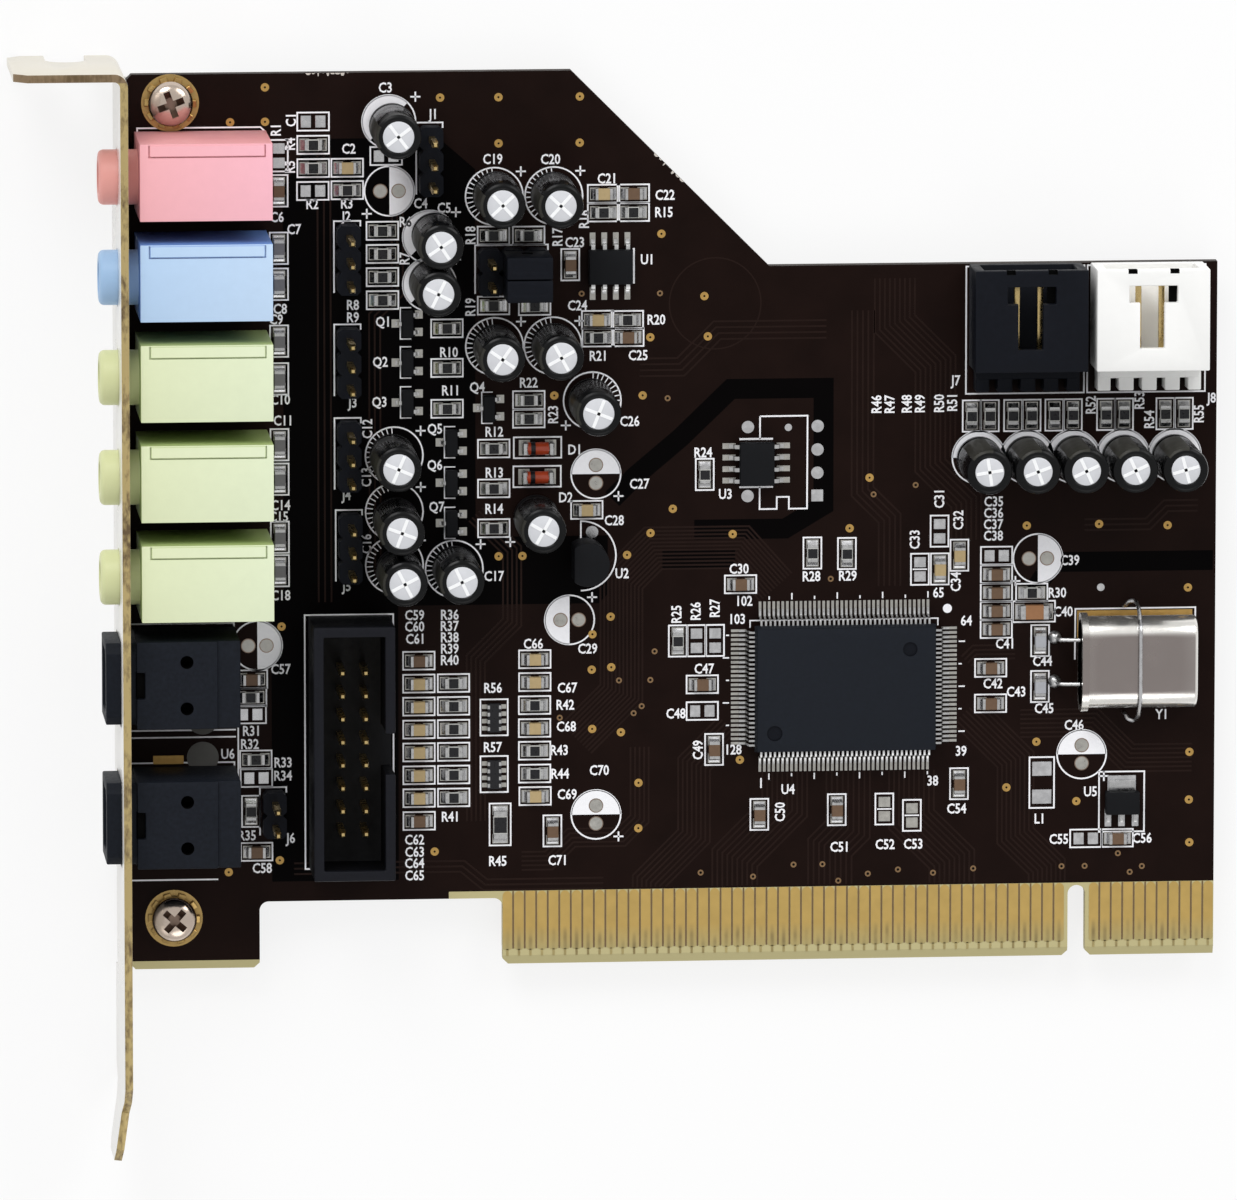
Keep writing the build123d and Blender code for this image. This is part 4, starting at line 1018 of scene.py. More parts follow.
def chip_part(shape, box, body, top=None):
    low, high = box
    centre, size, tall = middle_of(box), high - low, high.z
    place = Matrix.Translation((centre.x, centre.y, 0))
    if size.x <= size.y:
        place = place @ turn_z(math.pi / 2)
    long, wide = max(size.xy) / 2, min(size.xy) / 2
    end = END_SHARE * long
    x, y = long - BODY_INSET[0], wide - BODY_INSET[1]
    shape.block((-x, -y, 0.05), (x, y, tall - 0.02), body, 0.05, place)
    if top is not None:
        x, y = long - end - COVER_INSET[0], wide - COVER_INSET[1]
        shape.block((-x, -y, tall - 0.08), (x, y, tall + 0.01), top, 0.03, place)
    solder = [
        (long - 0.05, 0), (long + 0.42, 0), (long + 0.4, 0.07),
        (long + 0.2, 0.16), (long + 0.06, tall * 0.62), (long - 0.05, tall * 0.72),
    ]
    for side in (place, place @ turn_z(math.pi)):
        shape.block((long - end, -wide, 0.03), (long, wide, tall), 0, 0.07, side)
        shape.prism(solder, 0.06 - wide, wide - 0.06, 1, side @ UPRIGHT)
        near, far, half = long - CHIP_PAD[0], long + CHIP_PAD[1], wide + CHIP_PAD[2]
        pads.block((near, -half, -SINK), (far, half, PAD_TOP), PAD_TIN, 0.01, side)


resistor_boxes = islands("chip_resistors")
resistors = Shape(TIN, SOLDER, CERAMIC, GLAZE)
for box in resistor_boxes:
    chip_part(resistors, box, 2, 3)
resistors.piece("chip_resistor_parts", "chip_resistors", slot="resistor")

TAN_CHIPS = [
    (24.05, 88.3), (50.2, 50.35), (52.05, 85.15), (51.4, 71.3), (44.48, 33.9), (44.48, 31.37), (44.45, 26.26),
    (44.5, 18.7), (91.2, 44.8), (89.05, 43.3),
]
CHIP_NEAR = 0.3
LARGE_CHIP = 3.0
CHIP_AREAS = [
    ("pale", (99.5, 29), (101, 36)),
    ("grey", (16.37, 0), (16.77, 85)),
    ("tan", (31.55, 17), (31.95, 33)),
]


def capacitor_colour(box):
    # Large ones are orange, and others go by their area or by their place
    x, y, _ = middle_of(box)
    if box[1].x - box[0].x > LARGE_CHIP:
        return "orange"
    for colour, low, high in CHIP_AREAS:
        if low[0] < x < high[0] and low[1] < y < high[1]:
            return colour
    return "tan" if any(math.dist((x, y), chip) < CHIP_NEAR for chip in TAN_CHIPS) else "brown"


capacitor_boxes = islands("chip_capacitors")
chip_capacitors = Shape(TIN, SOLDER, *CAPACITOR_BODIES)
for box in capacitor_boxes:
    chip_part(chip_capacitors, box, 2 + list(CAPACITOR_COLOURS).index(capacitor_colour(box)))
chip_capacitors.piece("chip_capacitor_parts", "chip_capacitors", slot="capacitor")

# Resistor networks: black body with four ends on each side
NETWORK_ENDS = 4
NETWORK_END_HALF = 0.24
NETWORK_END_DEPTH = 0.35
NETWORK_PAD = (0.55, 0.2)
networks = Shape(GLAZE, TIN)
network_boxes = islands("resistor_networks")
for low, high in network_boxes:
    networks.block((low.x + 0.05, low.y, 0.05), (high.x - 0.05, high.y, high.z), 0, 0.05)
    for n in range(NETWORK_ENDS):
        y = low.y + (high.y - low.y) * (n + 0.5) / NETWORK_ENDS
        lower, upper = y - NETWORK_END_HALF, y + NETWORK_END_HALF
        for a, b in ((low.x, low.x + NETWORK_END_DEPTH), (high.x - NETWORK_END_DEPTH, high.x)):
            networks.block((a, lower, 0.02), (b, upper, high.z + 0.02), 1, 0.05)
        out, inside = NETWORK_PAD
        for a, b in ((low.x - out, low.x + inside), (high.x - inside, high.x + out)):
            pad((a, lower), (b, upper))
networks.piece("resistor_network_parts", "resistor_networks", slot="resistor")

# Gold contacts on both faces of the tongue, dark gaps between them and the plating stubs below
CONTACT_HALF = 0.515
CONTACT_BOTTOM = 1.6
LOWER_ROUND = 0.3
CONTACT_TOP = 8.15
GAP_WIDTH = 0.17
GAP_TOP = 0.9 * PAD_TOP
STUB = (0.24, 0.95)
KEYED = (49, 50)
SQUARE_OF_FIVE = (2, 4)
PLACES = [n for n in range(62) if n not in KEYED]
contacts = Shape(CONTACT, GAP)
w = CONTACT_HALF
lower_arc = [(w * a, LOWER_ROUND * (1 + b)) for a, b in arc((0, 0), 1, 8, math.pi, math.pi)]
upper_arc = arc((0, CONTACT_TOP - w), w, 8, 0, math.pi)
for n in PLACES:
    x = KEY_X + FIRST_CONTACT + n * CONTACT_PITCH
    outline = [(x + a, CONTACT_BOTTOM + b) for a, b in lower_arc]
    upper = [(w, CONTACT_TOP), (-w, CONTACT_TOP)] if n % 5 in SQUARE_OF_FIVE else upper_arc
    outline += [(x + a, b) for a, b in upper]
    stub = [(x, STUB[1]), (x, CONTACT_BOTTOM + 0.1)]
    for layer in both_faces(PAD_TOP):
        contacts.prism(outline, *layer)
        contacts.line(stub, STUB[0], *layer)
    if n + 1 in PLACES:
        between = x + CONTACT_PITCH / 2
        gap = [(between, CONTACT_BOTTOM + 0.15), (between, CONTACT_TOP)]
        for layer in both_faces(GAP_TOP):
            contacts.line(gap, GAP_WIDTH, *layer, 1)
contacts.piece("edge_contacts", slot="gold_pin")

# Screws with toothed washers on copper rings
SCREW_X = 4.8
SCREW_Y = (95.6, 5.7)
SCREW_TURNS = (0.35, 0.85)
RING_RADII = (3.15, 1.4)
TEETH = 10
TOOTH_LEAN = 0.3
HEAD = [(0, 0.5), (2.25, 0.5), (2.45, 0.7), (2.45, 1.15), (2.22, 1.65), (1.85, 1.95), (1.2, 2.15), (0, 2.2)]
COLLAR = [(0, 0.05), (2.3, 0.05), (2.3, 0.5), (0, 0.5)]
SHANK = [(0, BACK - 2.2), (1.2, BACK - 2.2), (1.45, BACK - 1.9), (1.45, 0.1), (0, 0.1)]
CROSS = [(-1.6, 2.6), (-1.4, 1.75), (-0.65, 1.0), (0.65, 1.0), (1.4, 1.75), (1.6, 2.6)]
CROSS_HALF = 0.36
screws = Shape(STEEL, RECESS, WASHER)
for y, turn in zip(SCREW_Y, SCREW_TURNS):
    at = Matrix.Translation((SCREW_X, y, 0))
    screws.ring((SCREW_X, y), *RING_RADII, *PLATED, 2, 40)
    for k in range(TEETH):
        tooth = at @ turn_z(math.tau * k / TEETH) @ Matrix.Rotation(TOOTH_LEAN, 4, "X")
        screws.block((1.9, -0.42, 0.03), (2.85, 0.42, 0.4), 2, 0.05, tooth)
    screws.turned(COLLAR, at, 2, 32)
    head = Shape(STEEL)
    head.turned(HEAD, at, 0, 40)
    for angle in (turn, turn + math.pi / 2):
        # Painted shade: the cross is cut with the darker recess steel
        cross = Shape(RECESS)
        cross.prism(CROSS, -CROSS_HALF, CROSS_HALF, place=at @ turn_z(angle) @ UPRIGHT)
        head.cut(cross)
    screws.take(head.bm)
    screws.turned(SHANK, at, 0, 24)
screws.piece("bracket_screws", slot="bracket_metal")

# Copper under the mask: dark fields without copper, and bundles of traces by path, count and pitch
DARK_FIELD = [
    (15.6, 9.6), (29.5, 9.6), (29.5, 40), (51.5, 40), (52.5, 41), (52.5, 47.5), (38, 47.5), (38, 88),
    (34, 91.5), (20, 91.5), (17, 86), (17, 42), (15.6, 40),
]
DARK_BANDS = [
    [(53, 51.5), (55.5, 54), (60.5, 58.2), (66, 63.5), (76.2, 63.5), (76.2, 50.5), (72, 48), (62, 48)],
    [(99, 40), (101.5, 43.9), (119.2, 43.9)],
    [(58.5, 44.8), (66.5, 44.8)],
]
BAND_WIDTH = 2.2
BUSES = [
    ([(72, 21), (72, 17), (66.5, 11.5), (66.5, 8.4)], 10, 0.55),
    ([(79, 21), (79, 14.5), (77, 12.5), (77, 8.4)], 9, 0.6),
    ([(86, 21), (86, 15.5), (90.5, 11), (90.5, 8.4)], 10, 0.55),
    ([(66, 26), (62, 22), (62, 14), (57, 9), (57, 8.4)], 8, 0.5),
    ([(71, 41.5), (67, 46), (57.5, 46), (54, 42.5), (54, 30), (49, 25)], 12, 0.42),
    ([(92.5, 46.5), (92.5, 51), (88.5, 55), (88.5, 66), (84, 70.5), (84, 75.5)], 9, 0.55),
    ([(83.5, 41.5), (83.5, 49), (80.5, 52), (80.5, 72)], 5, 0.6),
    ([(92, 27.5), (97.5, 22), (97.5, 13.5), (101, 10), (101, 8.4)], 9, 0.5),
    ([(98, 26), (106, 26), (110, 22), (117, 22)], 7, 0.5),
    ([(92, 33), (93, 34), (97.4, 34)], 4, 0.5),
    ([(18, 11), (36.5, 11), (39, 8.9), (52, 8.9)], 3, 0.6),
    ([(43, 11.5), (46, 11.5), (48.5, 14), (54, 14), (56, 16), (56, 24)], 5, 0.5),
    ([(56, 66), (60.5, 66), (64.5, 70), (76.5, 70)], 4, 0.65),
    ([(105, 48), (112, 48), (114, 50), (117.5, 50)], 3, 0.6),
    ([(21.5, 40.5), (21.5, 90)], 3, 0.7),
    ([(27, 43), (27, 72), (29.5, 74.5), (29.5, 88)], 3, 0.6),
    ([(38, 50), (42, 46), (42, 38), (38, 34), (38, 16)], 5, 0.5),
]
BACK_BUSES = [
    ([(17, 60), (40, 60), (46, 54), (70, 54), (76, 60), (112, 60)], 10, 0.9),
    ([(50, 9), (50, 20), (58, 28), (58, 48)], 10, 0.9),
    ([(70, 9), (70, 18), (76, 24), (76, 46)], 10, 0.9),
    ([(90, 9), (90, 22), (96, 28), (96, 52)], 10, 0.9),
    ([(20, 85), (48, 85), (62, 71), (90, 71)], 6, 1),
    ([(20, 45), (36, 45), (42, 39), (42, 14)], 7, 0.9),
]
TRACE_WIDTHS = (0.2, 0.3)
TRACE_RING = (5.1, 4.95)
under = Shape(MASK_DARK, MASK_TRACE)
under.prism(DARK_FIELD, -SINK, MASK_STEP / 2)
for path in DARK_BANDS:
    under.line(path, BAND_WIDTH, -SINK, MASK_STEP / 2)
for buses, width, layer in zip((BUSES, BACK_BUSES), TRACE_WIDTHS, both_faces(MASK_STEP)):
    for path, count, pitch in buses:
        for n in range(count):
            under.line(path, width, *layer, 1, shift=pitch * (n - (count - 1) / 2))
under.ring(spot(715, 280), *TRACE_RING, -SINK, MASK_STEP * 0.8, 1, 48)
under.piece("mask_copper", slot="board_mask")

# Plated holes through the board and fields of bare copper, in pixels of the photograph
VIAS = [
    (270.4, 47.9), (236, 83.7), (270.4, 83.7), (443, 61.3), (500.5, 61.8), (580.7, 62.3), (500.7, 109.8),
    (580.7, 110.3), (661.6, 206.5), (704.3, 272.2), (707.9, 314.4), (651, 314.4), (643.7, 375.2),
    (556.2, 374), (285.7, 613), (232.5, 872.9), (283.5, 861), (438, 854), (733.5, 522.4), (849.4, 518),
    (868.8, 465.1), (741.8, 761), (1025, 517.9), (1096.6, 517.3), (1164.5, 519.6), (1185.4, 585.5),
    (1189, 759.4), (1189, 810), (1190, 855.4), (1036.7, 746.4), (1007.3, 794.4), (1077, 810),
    (501.4, 542.2), (525, 542.2), (628.8, 542.7), (674, 494.8), (652, 520), (594.1, 663.3), (613.5, 661),
    (594.7, 726.1), (623.3, 730), (641, 784), (641, 832.2), (612.7, 607.6), (594.7, 625.9),
]
SMALL_VIAS = [
    (668.4, 378.6), (660.4, 268.6), (583, 267.8), (872.9, 482.7), (914.5, 473.5), (831, 571),
    (703.3, 880.4), (755.6, 885.4), (795.9, 873.2), (824.7, 873.2), (840.6, 891), (1086, 879), (1119, 866),
    (1131, 886), (1143, 880), (1063, 879), (900, 880), (935, 884), (975, 880), (870, 884), (656.5, 644.9),
    (621.2, 675.1), (652.4, 675.1), (643.9, 702.7), (635.9, 710), (562.4, 713.7),
]
BARE_COPPER = [((157.5, 757), (188, 748)), ((1076, 640), (1190, 608.5))]
PLUG_TOP = PAD_TOP * 0.5
holes = Shape(COPPER, HOLE_SHADE, DULL)
for places, outer, inner, finish in ((VIAS, 0.46, 0.12, 0), (SMALL_VIAS, 0.33, 0.15, 2)):
    for centre in spots(*places):
        for layer, plug in zip(both_faces(PAD_TOP), both_faces(PLUG_TOP)):
            holes.ring(centre, outer, inner, *layer, finish, 20)
            # Painted shade: a flat black disc in each hole stands for the dark inside it
            holes.disc(centre, inner + 0.01, *plug, 1, 12)
for first, last in BARE_COPPER:
    holes.block((*spot(*first), -SINK), (*spot(*last), PAD_TOP), 0, 0.01)
holes.piece("plated_holes", slot="gold_pin")

# White print: frames round the parts, rings, outlines and own-numbered marks
LINE = 0.17
THIN = 0.15
BOLD = 0.22
HATCH = 0.12
BRACE = 0.13
FRAME_ROOM = (1.45, 0.72)
CHIP_SIZE = (2.0, 1.25)
NETWORK_FRAME = (3.0, 4.0)
DIODE_FRAME = (5.2, 2.3)
BARE_TOP = 0.12
BARE_EDGE = 0.09
silk = Shape(PRINT)


def print_line(points, width=LINE, closed=False):
    silk.line(points, width, *PRINTED, closed=closed)


def print_box(low, high):
    print_line(rectangle(low, high), closed=True)


def print_frame(centre, size):
    half = Vector(size) / 2
    print_box(Vector(centre) - half, Vector(centre) + half)


def chip_frame(centre, across, size=CHIP_SIZE):
    w, h = size[0] + FRAME_ROOM[0], size[1] + FRAME_ROOM[1]
    print_frame(centre, (w, h) if across else (h, w))


def pad_pair(centre, across, step=0.79, size=(1.14, 1.3), finish=PAD_SOLDER):
    # Two bare pads where no part is fitted
    away = Vector((step, 0) if across else (0, step))
    half = Vector(size if across else size[::-1]) / 2
    for middle in (Vector(centre) + away, Vector(centre) - away):
        pad(middle - half, middle + half, finish, BARE_TOP, BARE_EDGE)


for box in resistor_boxes + capacitor_boxes:
    size = (box[1] - box[0]).xy
    chip_frame(middle_of(box).xy, size.x > size.y, (max(size), min(size)))
for boxes, size in ((network_boxes, NETWORK_FRAME), (diode_boxes, DIODE_FRAME)):
    for box in boxes:
        print_frame(middle_of(box).xy, size)
EMPTY_ACROSS = [
    (28.3, 89.55), (20.35, 93.4), (20.3, 85.8), (62.9, 27.9), (13.9, 21.15), (13.25, 28.2), (95.3, 44.7),
    (105.3, 13.1),
]
EMPTY_UP = [(16.6, 89.7), (62.25, 35.7), (64.3, 35.7), (89.0, 47.5), (86.85, 43.3)]
EMPTY_DULL = [(83.0, 16.7), (86.05, 15.95)]
EMPTY_LARGE = (100.4, 19.4)
BAR_HALF = 0.8
for across, places in ((True, EMPTY_ACROSS), (False, EMPTY_UP)):
    for place in places:
        chip_frame(place, across)
        pad_pair(place, across)
for place in EMPTY_DULL:
    chip_frame(place, False)
    pad_pair(place, False, finish=PAD_TIN)
for x, y in EMPTY_DULL + EMPTY_UP[-1:]:
    print_line([(x - BAR_HALF, y), (x + BAR_HALF, y)], THIN)
chip_frame(EMPTY_LARGE, False, (4.2, 2.0))
pad_pair(EMPTY_LARGE, False, 1.55, (1.6, 2.15))

# Rings of the electrolytic capacitors, half filled with white or hatched; empty ones have a turn of their own
HALF_RADIUS = 2.72
FITTED_RADIUS = 2.92
HATCH_RADII = (2.35, 3.15)
HATCH_STEP = 11
FITTED_HALF = [(28.6, 93.3), (33.0, 80.6), (33.0, 75.4)]
FITTED_ROW = [(x, 55.6) for x in (93.3, 98.6, 103.7, 109.2, 114.9)]
FITTED_HATCH = [
    (40.1, 85.0), (46.6, 85.0), (40.1, 68.5), (46.5, 68.5), (29.1, 56.6), (29.1, 50.4), (29.1, 44.5),
    (35.65, 44.0),
]
FITTED_TURNED = (50.8, 62.4)
FITTED_PLAIN = (44.7, 49.6)
EMPTY_HALF = [
    (28.65, 85.7, 180), (14.06, 35.8, 180), (51.2, 16.55, 270), (104.8, 22.5, 270), (99.87, 44.33, 180),
    (48.3, 38.2, 0), (51.2, 54.3, 270),
]
PLUS_OUT = (2.9, 2.7)
PLUS_BESIDE = 3.5
PLUS_ARM = 0.55
PLUS_WIDTH = 0.18
HOLE_PADS = ((0.8, 0.05, PAD_RECESS), (0.7, 0.07, PAD_TIN))


def way_at(degrees):
    return Vector((math.cos(math.radians(degrees)), math.sin(math.radians(degrees))))


def ring_line(centre, radius):
    print_line(arc(centre, radius, 40), closed=True)


def half_filled(centre, radius, dark):
    ring_line(centre, radius)
    silk.prism(arc(centre, radius, 24, math.radians(dark + 90), math.pi), *PRINTED)


def plus(x, y):
    print_line([(x - PLUS_ARM, y), (x + PLUS_ARM, y)], PLUS_WIDTH)
    print_line([(x, y - PLUS_ARM), (x, y + PLUS_ARM)], PLUS_WIDTH)


for places, dark in ((FITTED_HALF, -45), (FITTED_ROW, -90)):
    for place in places:
        half_filled(place, FITTED_RADIUS, dark)
for place, first, count in [(p, 95, 13) for p in FITTED_HATCH] + [(FITTED_TURNED, 0, 9)]:
    ring_line(place, HATCH_RADII[1])
    for n in range(count):
        print_line([Vector(place) + way_at(first + n * HATCH_STEP) * r for r in HATCH_RADII], HATCH)
for x, y in FITTED_HALF + FITTED_HATCH:
    plus(x + PLUS_OUT[0], y + PLUS_OUT[1])
for x, y in (FITTED_TURNED, FITTED_PLAIN):
    plus(x - PLUS_OUT[0], y - PLUS_OUT[1])
for x, y, dark in EMPTY_HALF:
    centre = Vector((x, y))
    plus(*(centre + way_at(dark + 45) * PLUS_BESIDE))
    half_filled(centre, HALF_RADIUS, dark)
    for place in (centre + way_at(dark), centre - way_at(dark)):
        for radius, top, finish in HOLE_PADS:
            pads.disc(place, radius, -SINK, top, finish)

# Outlines of headers, sockets and packages
BRACE_HALF = 1.72
BOX_HEADER_PRINT = ((19.25, 10.95), (28.95, 39.1))
REGULATOR_ROOM = Vector((0.65, 2.1))
HEADER_ROOM = (0.25, 0.1)
HEADER_TAIL = 0.6
SOCKET_ROOM = (Vector((-0.3, -0.55)), Vector((0.3, -0.3)))
JACK_PRINT = [(1.2, -1.0), (1.2, 0.35), (14.6, 0.35), (15.1, -0.1)]
OPTICAL_PRINT = [(0.2, 0.35), (11.5, 0.35), (11.5, -0.6)]
for node in HEADER_NODES:
    low, high = card_box(node)
    left, right, upper = low.x - HEADER_ROOM[0], high.x + HEADER_ROOM[1], high.y + HEADER_ROOM[0]
    print_line([(left, low.y), (left, upper), (right, upper), (right, upper - HEADER_TAIL)])
print_box(*BOX_HEADER_PRINT)
for node in socket_looks:
    print_box(*(corner.xy + room for corner, room in zip(card_box(node), SOCKET_ROOM)))
upper_sides = [("mic_jack", JACK_PRINT)] + [(name + "_socket", OPTICAL_PRINT) for name in OPTICAL_NAMES]
for node, points in upper_sides:
    top = card_box(node)[1].y
    print_line([(x, top + y) for x, y in points])
low, high = card_box("amplifier")
print_line([(high.x + 0.15, low.y), (high.x + 0.15, high.y)], BOLD)
low, high = card_box("memory")
for y in (low.y - 0.2, high.y + 0.2):
    print_line([(low.x + 0.1, y), (high.x - 0.1, y)], BOLD)
low, high = card_box("power_regulator")
print_box(low.xy - REGULATOR_ROOM, high.xy + REGULATOR_ROOM)
for low, high in transistor_boxes:
    left, right, y = low.x - 0.1, high.x - 0.2, (low.y + high.y) / 2
    upper, lower = y + BRACE_HALF, y - BRACE_HALF
    print_line([(right, upper), (left, upper), (left, lower), (right, lower)], BRACE)

# Outlines of what is not fitted, in pixels of the photograph, with their bare pads
PIXEL_LINES = [
    [(132, 721.4), (240, 721.4)],
    [(132, 728.9), (240, 728.9)],
    [(132, 880.3), (222, 880.3)],
    [(242.4, 628), (242.4, 866)],
    [(1074, 660), (1074, 606.5), (1193, 606.5), (1193, 625)],
    [(760, 399), (807, 399), (807, 496.5), (789, 496.5), (789, 484), (777, 484), (777, 496.5), (760, 496.5),
     (760, 473)],
    [(760, 399), (760, 423)],
]
for pixels in PIXEL_LINES:
    print_line(spots(*pixels))
ROUND_PADS = [
    (spots((817, 410), (817, 434.6), (817, 459), (748, 410), (748, 482.5)), 0.68, 0.07),
    (spots((788, 411)), 0.4, 0.07),
    (spots((594, 518)), 0.68, 0.09),
    (spots((1099, 584)), 0.42, PAD_TOP),
]
for places, radius, top in ROUND_PADS:
    for place in places:
        pads.disc(place, radius, -SINK, top, PAD_SOLDER)
PEG_RADIUS = 1.75
for place in spots((207, 750.5), (207, 709.5)):
    pads.disc(place, PEG_RADIUS, *PLATED, PAD_PEG, 32)
SQUARE_HALF = 0.66
x, y = spot(817, 483)
pad((x - SQUARE_HALF, y - SQUARE_HALF), (x + SQUARE_HALF, y + SQUARE_HALF), PAD_SOLDER, 0.07, 0.03)
D_CENTRE = spot(583, 543)
D_RADIUS = 3.85
D_CUT = 2.1
d_arc = arc(D_CENTRE, D_RADIUS, 24, -math.pi / 2, math.pi)
print_line([*d_arc, (D_CENTRE[0], D_CENTRE[1] + D_RADIUS - D_CUT)])

# Marks round the controller: a line along its upper edge, counting ticks, end numbers and a round mark
TICK_START = 2.65
TICK_ENDS = (3.35, 3.0)
TICK_STEP = 5
CORNER_OUT = 0.35
CORNER_DROP = 0.8
low, high = chip_box
left, right, upper = low.x - CORNER_OUT, high.x + CORNER_OUT, high.y + CORNER_OUT
lower = upper - CORNER_DROP
print_line([(left, lower), (left, upper), (right, upper), (right, lower)], THIN)
for n, (start, outward) in enumerate(chip_rows[2::TICK_STEP]):
    print_line(outwards(start, outward, (TICK_START, TICK_ENDS[n % 2])), THIN)
silk.disc(spot(947, 604), 0.5, *PRINTED)
END_NUMBERS = {
    "1": (763, 786), "38": (934, 786), "39": (962, 755), "64": (966, 617),
    "65": (938, 587), "102": (746, 593), "103": (739, 612), "128": (736, 750),
}
for words, place in END_NUMBERS.items():
    silk.letters(words, spot(*place))

# Marks beside the parts, in pixels of the photograph: place, and turn where they stand upright
MARKS = {
    "R": [
        (281, 93, 90), (317, 170), (351, 170), (295, 107, 90), (295, 131, 90), (409, 190), (408, 228, 90),
        (357, 276), (357, 289), (452, 327), (453, 367), (497, 411), (497, 454), (497, 492), (664, 184),
        (585, 190, 90), (559, 208, 90), (473, 205, 90), (473, 280, 90), (657, 296), (599, 333), (531, 360),
        (555, 394, 90), (704, 436), (678, 606, 90), (697, 603, 90), (716, 600, 90), (812, 568), (848, 568),
        (1056, 589), (255, 723), (254, 737), (287, 757), (287, 771), (251, 834), (453, 603), (453, 615),
        (453, 627), (453, 639), (453, 651), (453, 817), (568, 700), (562, 748), (563, 773), (501, 865),
        (875, 388, 90), (888, 388, 90), (905, 388, 90), (918, 388, 90), (937, 388, 90), (950, 388, 90),
        (1087, 392, 90), (1135, 388, 90), (1145, 408, 90), (1194, 403, 90), (496, 681), (496, 744),
    ],
    "C": [
        (296, 83, 90), (353, 113), (389, 50), (424, 171), (447, 176), (282, 183), (299, 196), (285, 279),
        (281, 290), (285, 374), (287, 396), (371, 406, 90), (370, 457, 90), (285, 485), (283, 497),
        (370, 527, 90), (497, 563), (285, 580), (495, 126), (552, 127), (607, 148), (665, 166), (576, 214),
        (579, 280), (639, 333), (631, 402), (641, 468), (616, 506), (590, 641), (740, 559), (938, 489, 90),
        (957, 511, 90), (914, 531, 90), (955, 576, 90), (992, 492), (992, 504), (992, 516), (992, 528),
        (1068, 555), (1062, 609), (1004, 642), (993, 684), (1016, 693), (1042, 661), (1044, 711),
        (1074, 729), (706, 664), (678, 711), (700, 750, 90), (782, 817, 90), (841, 855), (887, 853),
        (915, 853), (958, 816), (1060, 850), (1143, 850), (285, 658), (266, 869), (418, 603), (418, 615),
        (418, 628), (418, 841), (418, 854), (418, 866), (418, 879), (536, 635), (570, 682), (569, 723),
        (570, 795), (602, 770), (560, 865),
    ],
    "Q": [(386, 295), (384, 337), (383, 379), (480, 365), (438, 408), (438, 446), (440, 490)],
    "J": [(435, 80), (350, 185), (356, 380), (350, 477), (350, 573), (294, 839), (953, 366), (1206, 388)],
    "U": [(647, 233), (624, 562), (726, 480), (790, 793), (1091, 800), (232, 747)],
    "D": [(576, 431), (568, 481)],
    "Y": [(1160, 719)],
    "L": [(1040, 828)],
}
for letter, places in MARKS.items():
    for n, (u, v, *turn) in enumerate(places, 1):
        silk.letters(f"{letter}{n}", spot(u, v), *turn)
silk.piece("board_print")
pads.piece("solder_pads", slot="tin")

# Soldered ends behind the board, under each lead that goes through it but for those under the upper ear
JOINT = [(0.95, SINK), (0.95, 0), (0.8, -0.12), (0.52, -0.42), (0.36, -0.85), (0.32, -1.05), (0, -1.1)]
CLOSE_SHARE = 0.62
CAN_STEP = 1.05
POST_LEAST = 2.0
JACK_JOINTS = ((3.6, 0), (7.2, 2.5), (7.2, -2.5), (12.6, 2.5), (12.6, -2.5))
OPTICAL_JOINTS = ((10.4, 2.5), (10.4, 0), (10.4, -2.5))
EAR_REACH = 10.5
EAR_LOW = 89.3
post_boxes = [box for node in socket_looks for box in islands(node + "_pins")]
post_boxes = [box for box in post_boxes if box[1].z - box[0].z > POST_LEAST]
joint_places = [middle_of(box).xy for box in pin_boxes + post_boxes] + crystal_feet
joint_places += [middle_of(box).xy + Vector((0, step)) for box in can_boxes for step in (CAN_STEP, -CAN_STEP)]
rows = [(node, JACK_JOINTS) for node in jack_looks]
rows += [(name + "_module", OPTICAL_JOINTS) for name in OPTICAL_NAMES]
for node, places in rows:
    middle = middle_of(card_box(node)).y
    joint_places += [Vector((x, middle + y)) for x, y in places]
joint_places = [p for p in joint_places if p.x > EAR_REACH or p.y < EAR_LOW]
close_places = [middle_of(box).xy for box in leg_boxes] + strap_feet
joints = Shape(SOLDER)
for places, share in ((joint_places, 1.0), (close_places, CLOSE_SHARE)):
    profile = [(0, SINK)] + [(radius * share, height) for radius, height in JOINT]
    for place in places:
        joints.turned(profile, Matrix.Translation((*place, BACK)), 0, 16)
joints.piece("solder_joints", slot="tin")

# Chipped laminate on the upper edge and on the slope
board_top = card_box("board")[1].y
slope_foot = Vector((70.2, 77.0))
slope_head = Vector((48.5, board_top))
CHIP_DEPTHS = (-0.6, 0.02)
CHIPS = [
    (Vector((19.6, board_top)), Vector((24.4, board_top)), 9),
    (slope_head.lerp(slope_foot, 0.42), slope_head.lerp(slope_foot, 0.57), 7),
]
chips = Shape(CHIPPED)
for start, end, count in CHIPS:
    way = (end - start).normalized()
    inward = Vector((way.y, -way.x))
    for n in range(count):
        at = start.lerp(end, (n + 0.5) / count)
        size = 0.22 + 0.16 * math.sin(5.3 * n + 1)
        depth = 0.2 + 0.16 * math.sin(3.7 * n)
        corners = ((-1, 0), (0.8, 0), (0.3, depth), (-0.5, depth))
        chips.prism([at + way * size * a + inward * b for a, b in corners], *CHIP_DEPTHS)
chips.piece("edge_chips", slot="board_mask")


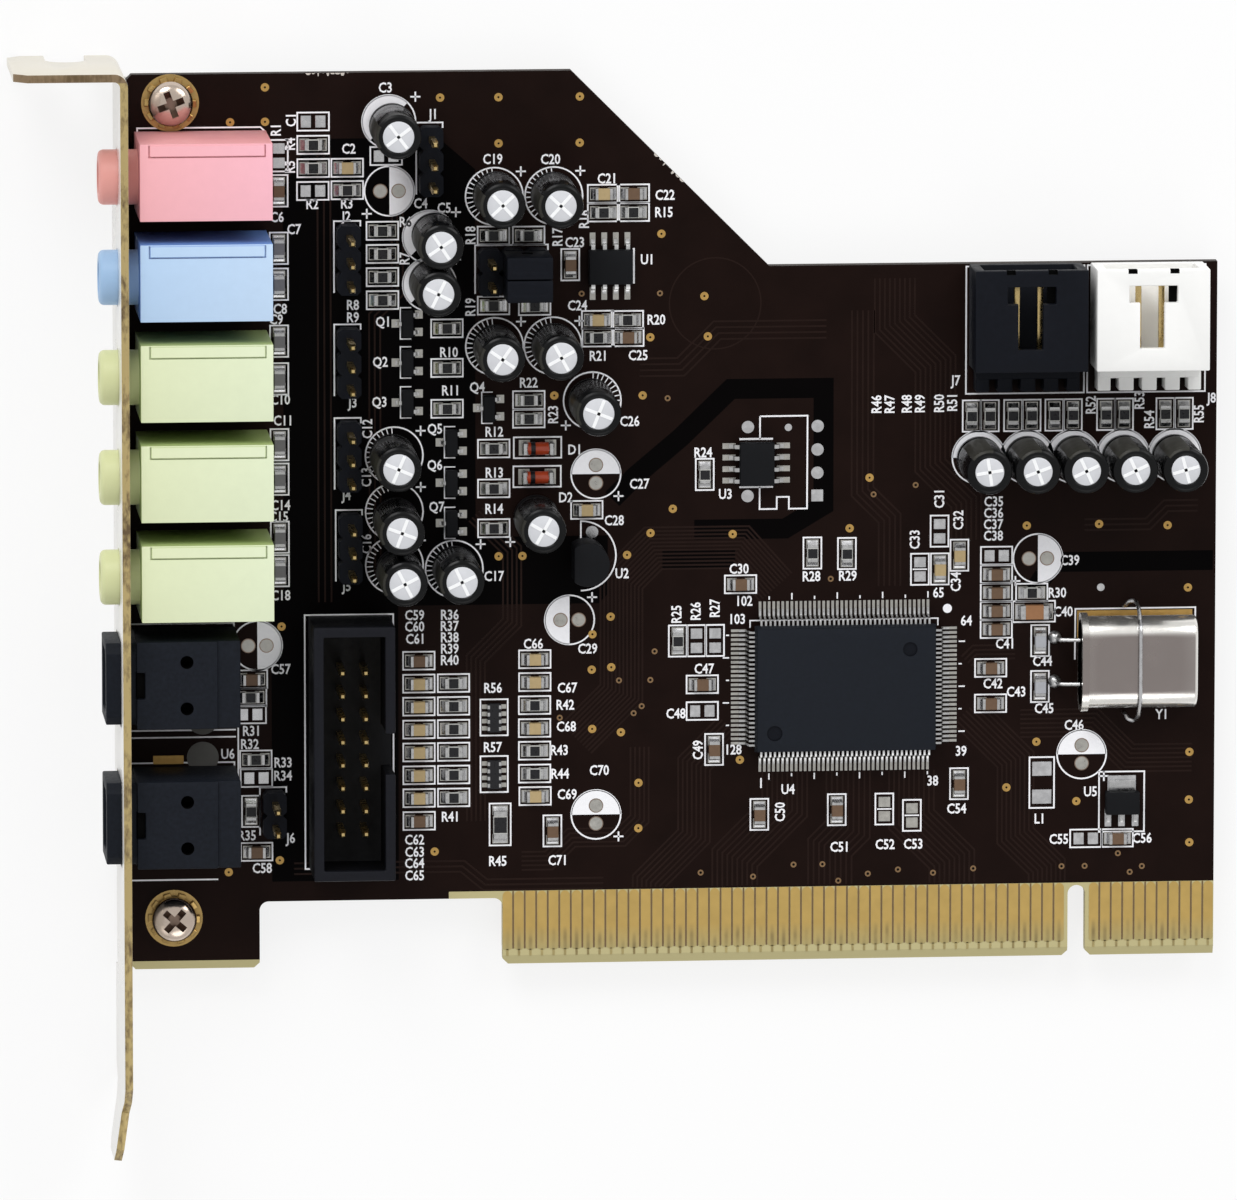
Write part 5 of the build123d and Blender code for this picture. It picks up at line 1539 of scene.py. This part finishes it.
# Floor, light and camera
def seen_rays(tree, strength):
    # Level for rays that reach the eye straight, by a gloss or through glass
    rays = new_node(tree, "LightPath").outputs
    level = rays["Is Camera Ray"]
    for kind in ("Is Glossy Ray", "Is Transmission Ray"):
        level = new_node(tree, "Math", {0: level, 1: rays[kind]}, operation="MAXIMUM").outputs[0]
    return new_node(tree, "Math", {0: level, 1: strength}, operation="MULTIPLY").outputs[0]


FLOOR_REACH = 3.0
floor_mesh = bpy.data.meshes.new("floor")
corners = [(s * FLOOR_REACH, t * FLOOR_REACH, cad_box[0].z) for s, t in SQUARE]
floor_mesh.from_pydata(corners, [], [(0, 1, 2, 3)])
floor = bpy.data.objects.new("floor", floor_mesh)
bpy.context.collection.objects.link(floor)
floor_paint = bpy.data.materials.new("floor_white")
floor_paint.use_nodes = True
tree = floor_paint.node_tree
matt = tree.nodes["Principled BSDF"]
feed(tree, matt, {"Base Color": (0.9, 0.9, 0.9, 1), "Roughness": 0.9})
glow = new_node(tree, "Emission")
blend = new_node(tree, "MixShader", {0: seen_rays(tree, 0.8), 1: matt.outputs[0], 2: glow.outputs[0]})
feed(tree, tree.nodes["Material Output"], {"Surface": blend.outputs[0]})
floor_mesh.materials.append(floor_paint)

world = bpy.data.worlds.new("studio")
bpy.context.scene.world = world
world.use_nodes = True
tree = world.node_tree
level = new_node(tree, "MapRange", {"Value": seen_rays(tree, 1.0), "To Min": 0.62, "To Max": 0.72})
feed(tree, tree.nodes["Background"], {"Color": (1, 1, 1, 1), "Strength": level.outputs["Result"]})

# Middle of the picture, and lamps by place from it, size and power
card_middle = Vector(((BOARD_LOW.x + BOARD_HIGH.x) / 2 - 0.006, 0.0402, 0))
LAMPS = [
    ("left", (-0.5, 1.2, 0.9), 0.8, 10.0),
    ("right", (0.8, 0.9, 0.9), 0.7, 5.0),
    ("front", (0.2, -0.9, 0.95), 0.7, 2.0),
]
for name, offset, size, power in LAMPS:
    lamp = bpy.data.lights.new(name, "AREA")
    lamp.shape = "DISK"
    lamp.size = size
    lamp.energy = power
    made = bpy.data.objects.new(name, lamp)
    made.location = card_middle + Vector(offset)
    made.rotation_mode = "QUATERNION"
    made.rotation_quaternion = (-Vector(offset)).to_track_quat("-Z", "Y")
    bpy.context.collection.objects.link(made)

CAMERA_WAY = Vector((-133, 238, 1540)).normalized()
CAMERA_DISTANCE = 1.56
FRAME_WIDTH = 0.1355
camera = bpy.data.cameras.new("camera")
camera.sensor_width = 36.0
camera.lens = camera.sensor_width * CAMERA_DISTANCE / FRAME_WIDTH
camera.clip_start = 0.05
camera.clip_end = 20.0
viewer = bpy.data.objects.new("camera", camera)
viewer.location = card_middle + CAMERA_WAY * CAMERA_DISTANCE
right = Vector((0, 1, 0)).cross(CAMERA_WAY).normalized()
up = CAMERA_WAY.cross(right)
viewer.rotation_mode = "QUATERNION"
viewer.rotation_quaternion = Matrix((right, up, CAMERA_WAY)).transposed().to_quaternion()
bpy.context.collection.objects.link(viewer)
bpy.context.scene.camera = viewer
bpy.context.scene.view_settings.view_transform = "Standard"
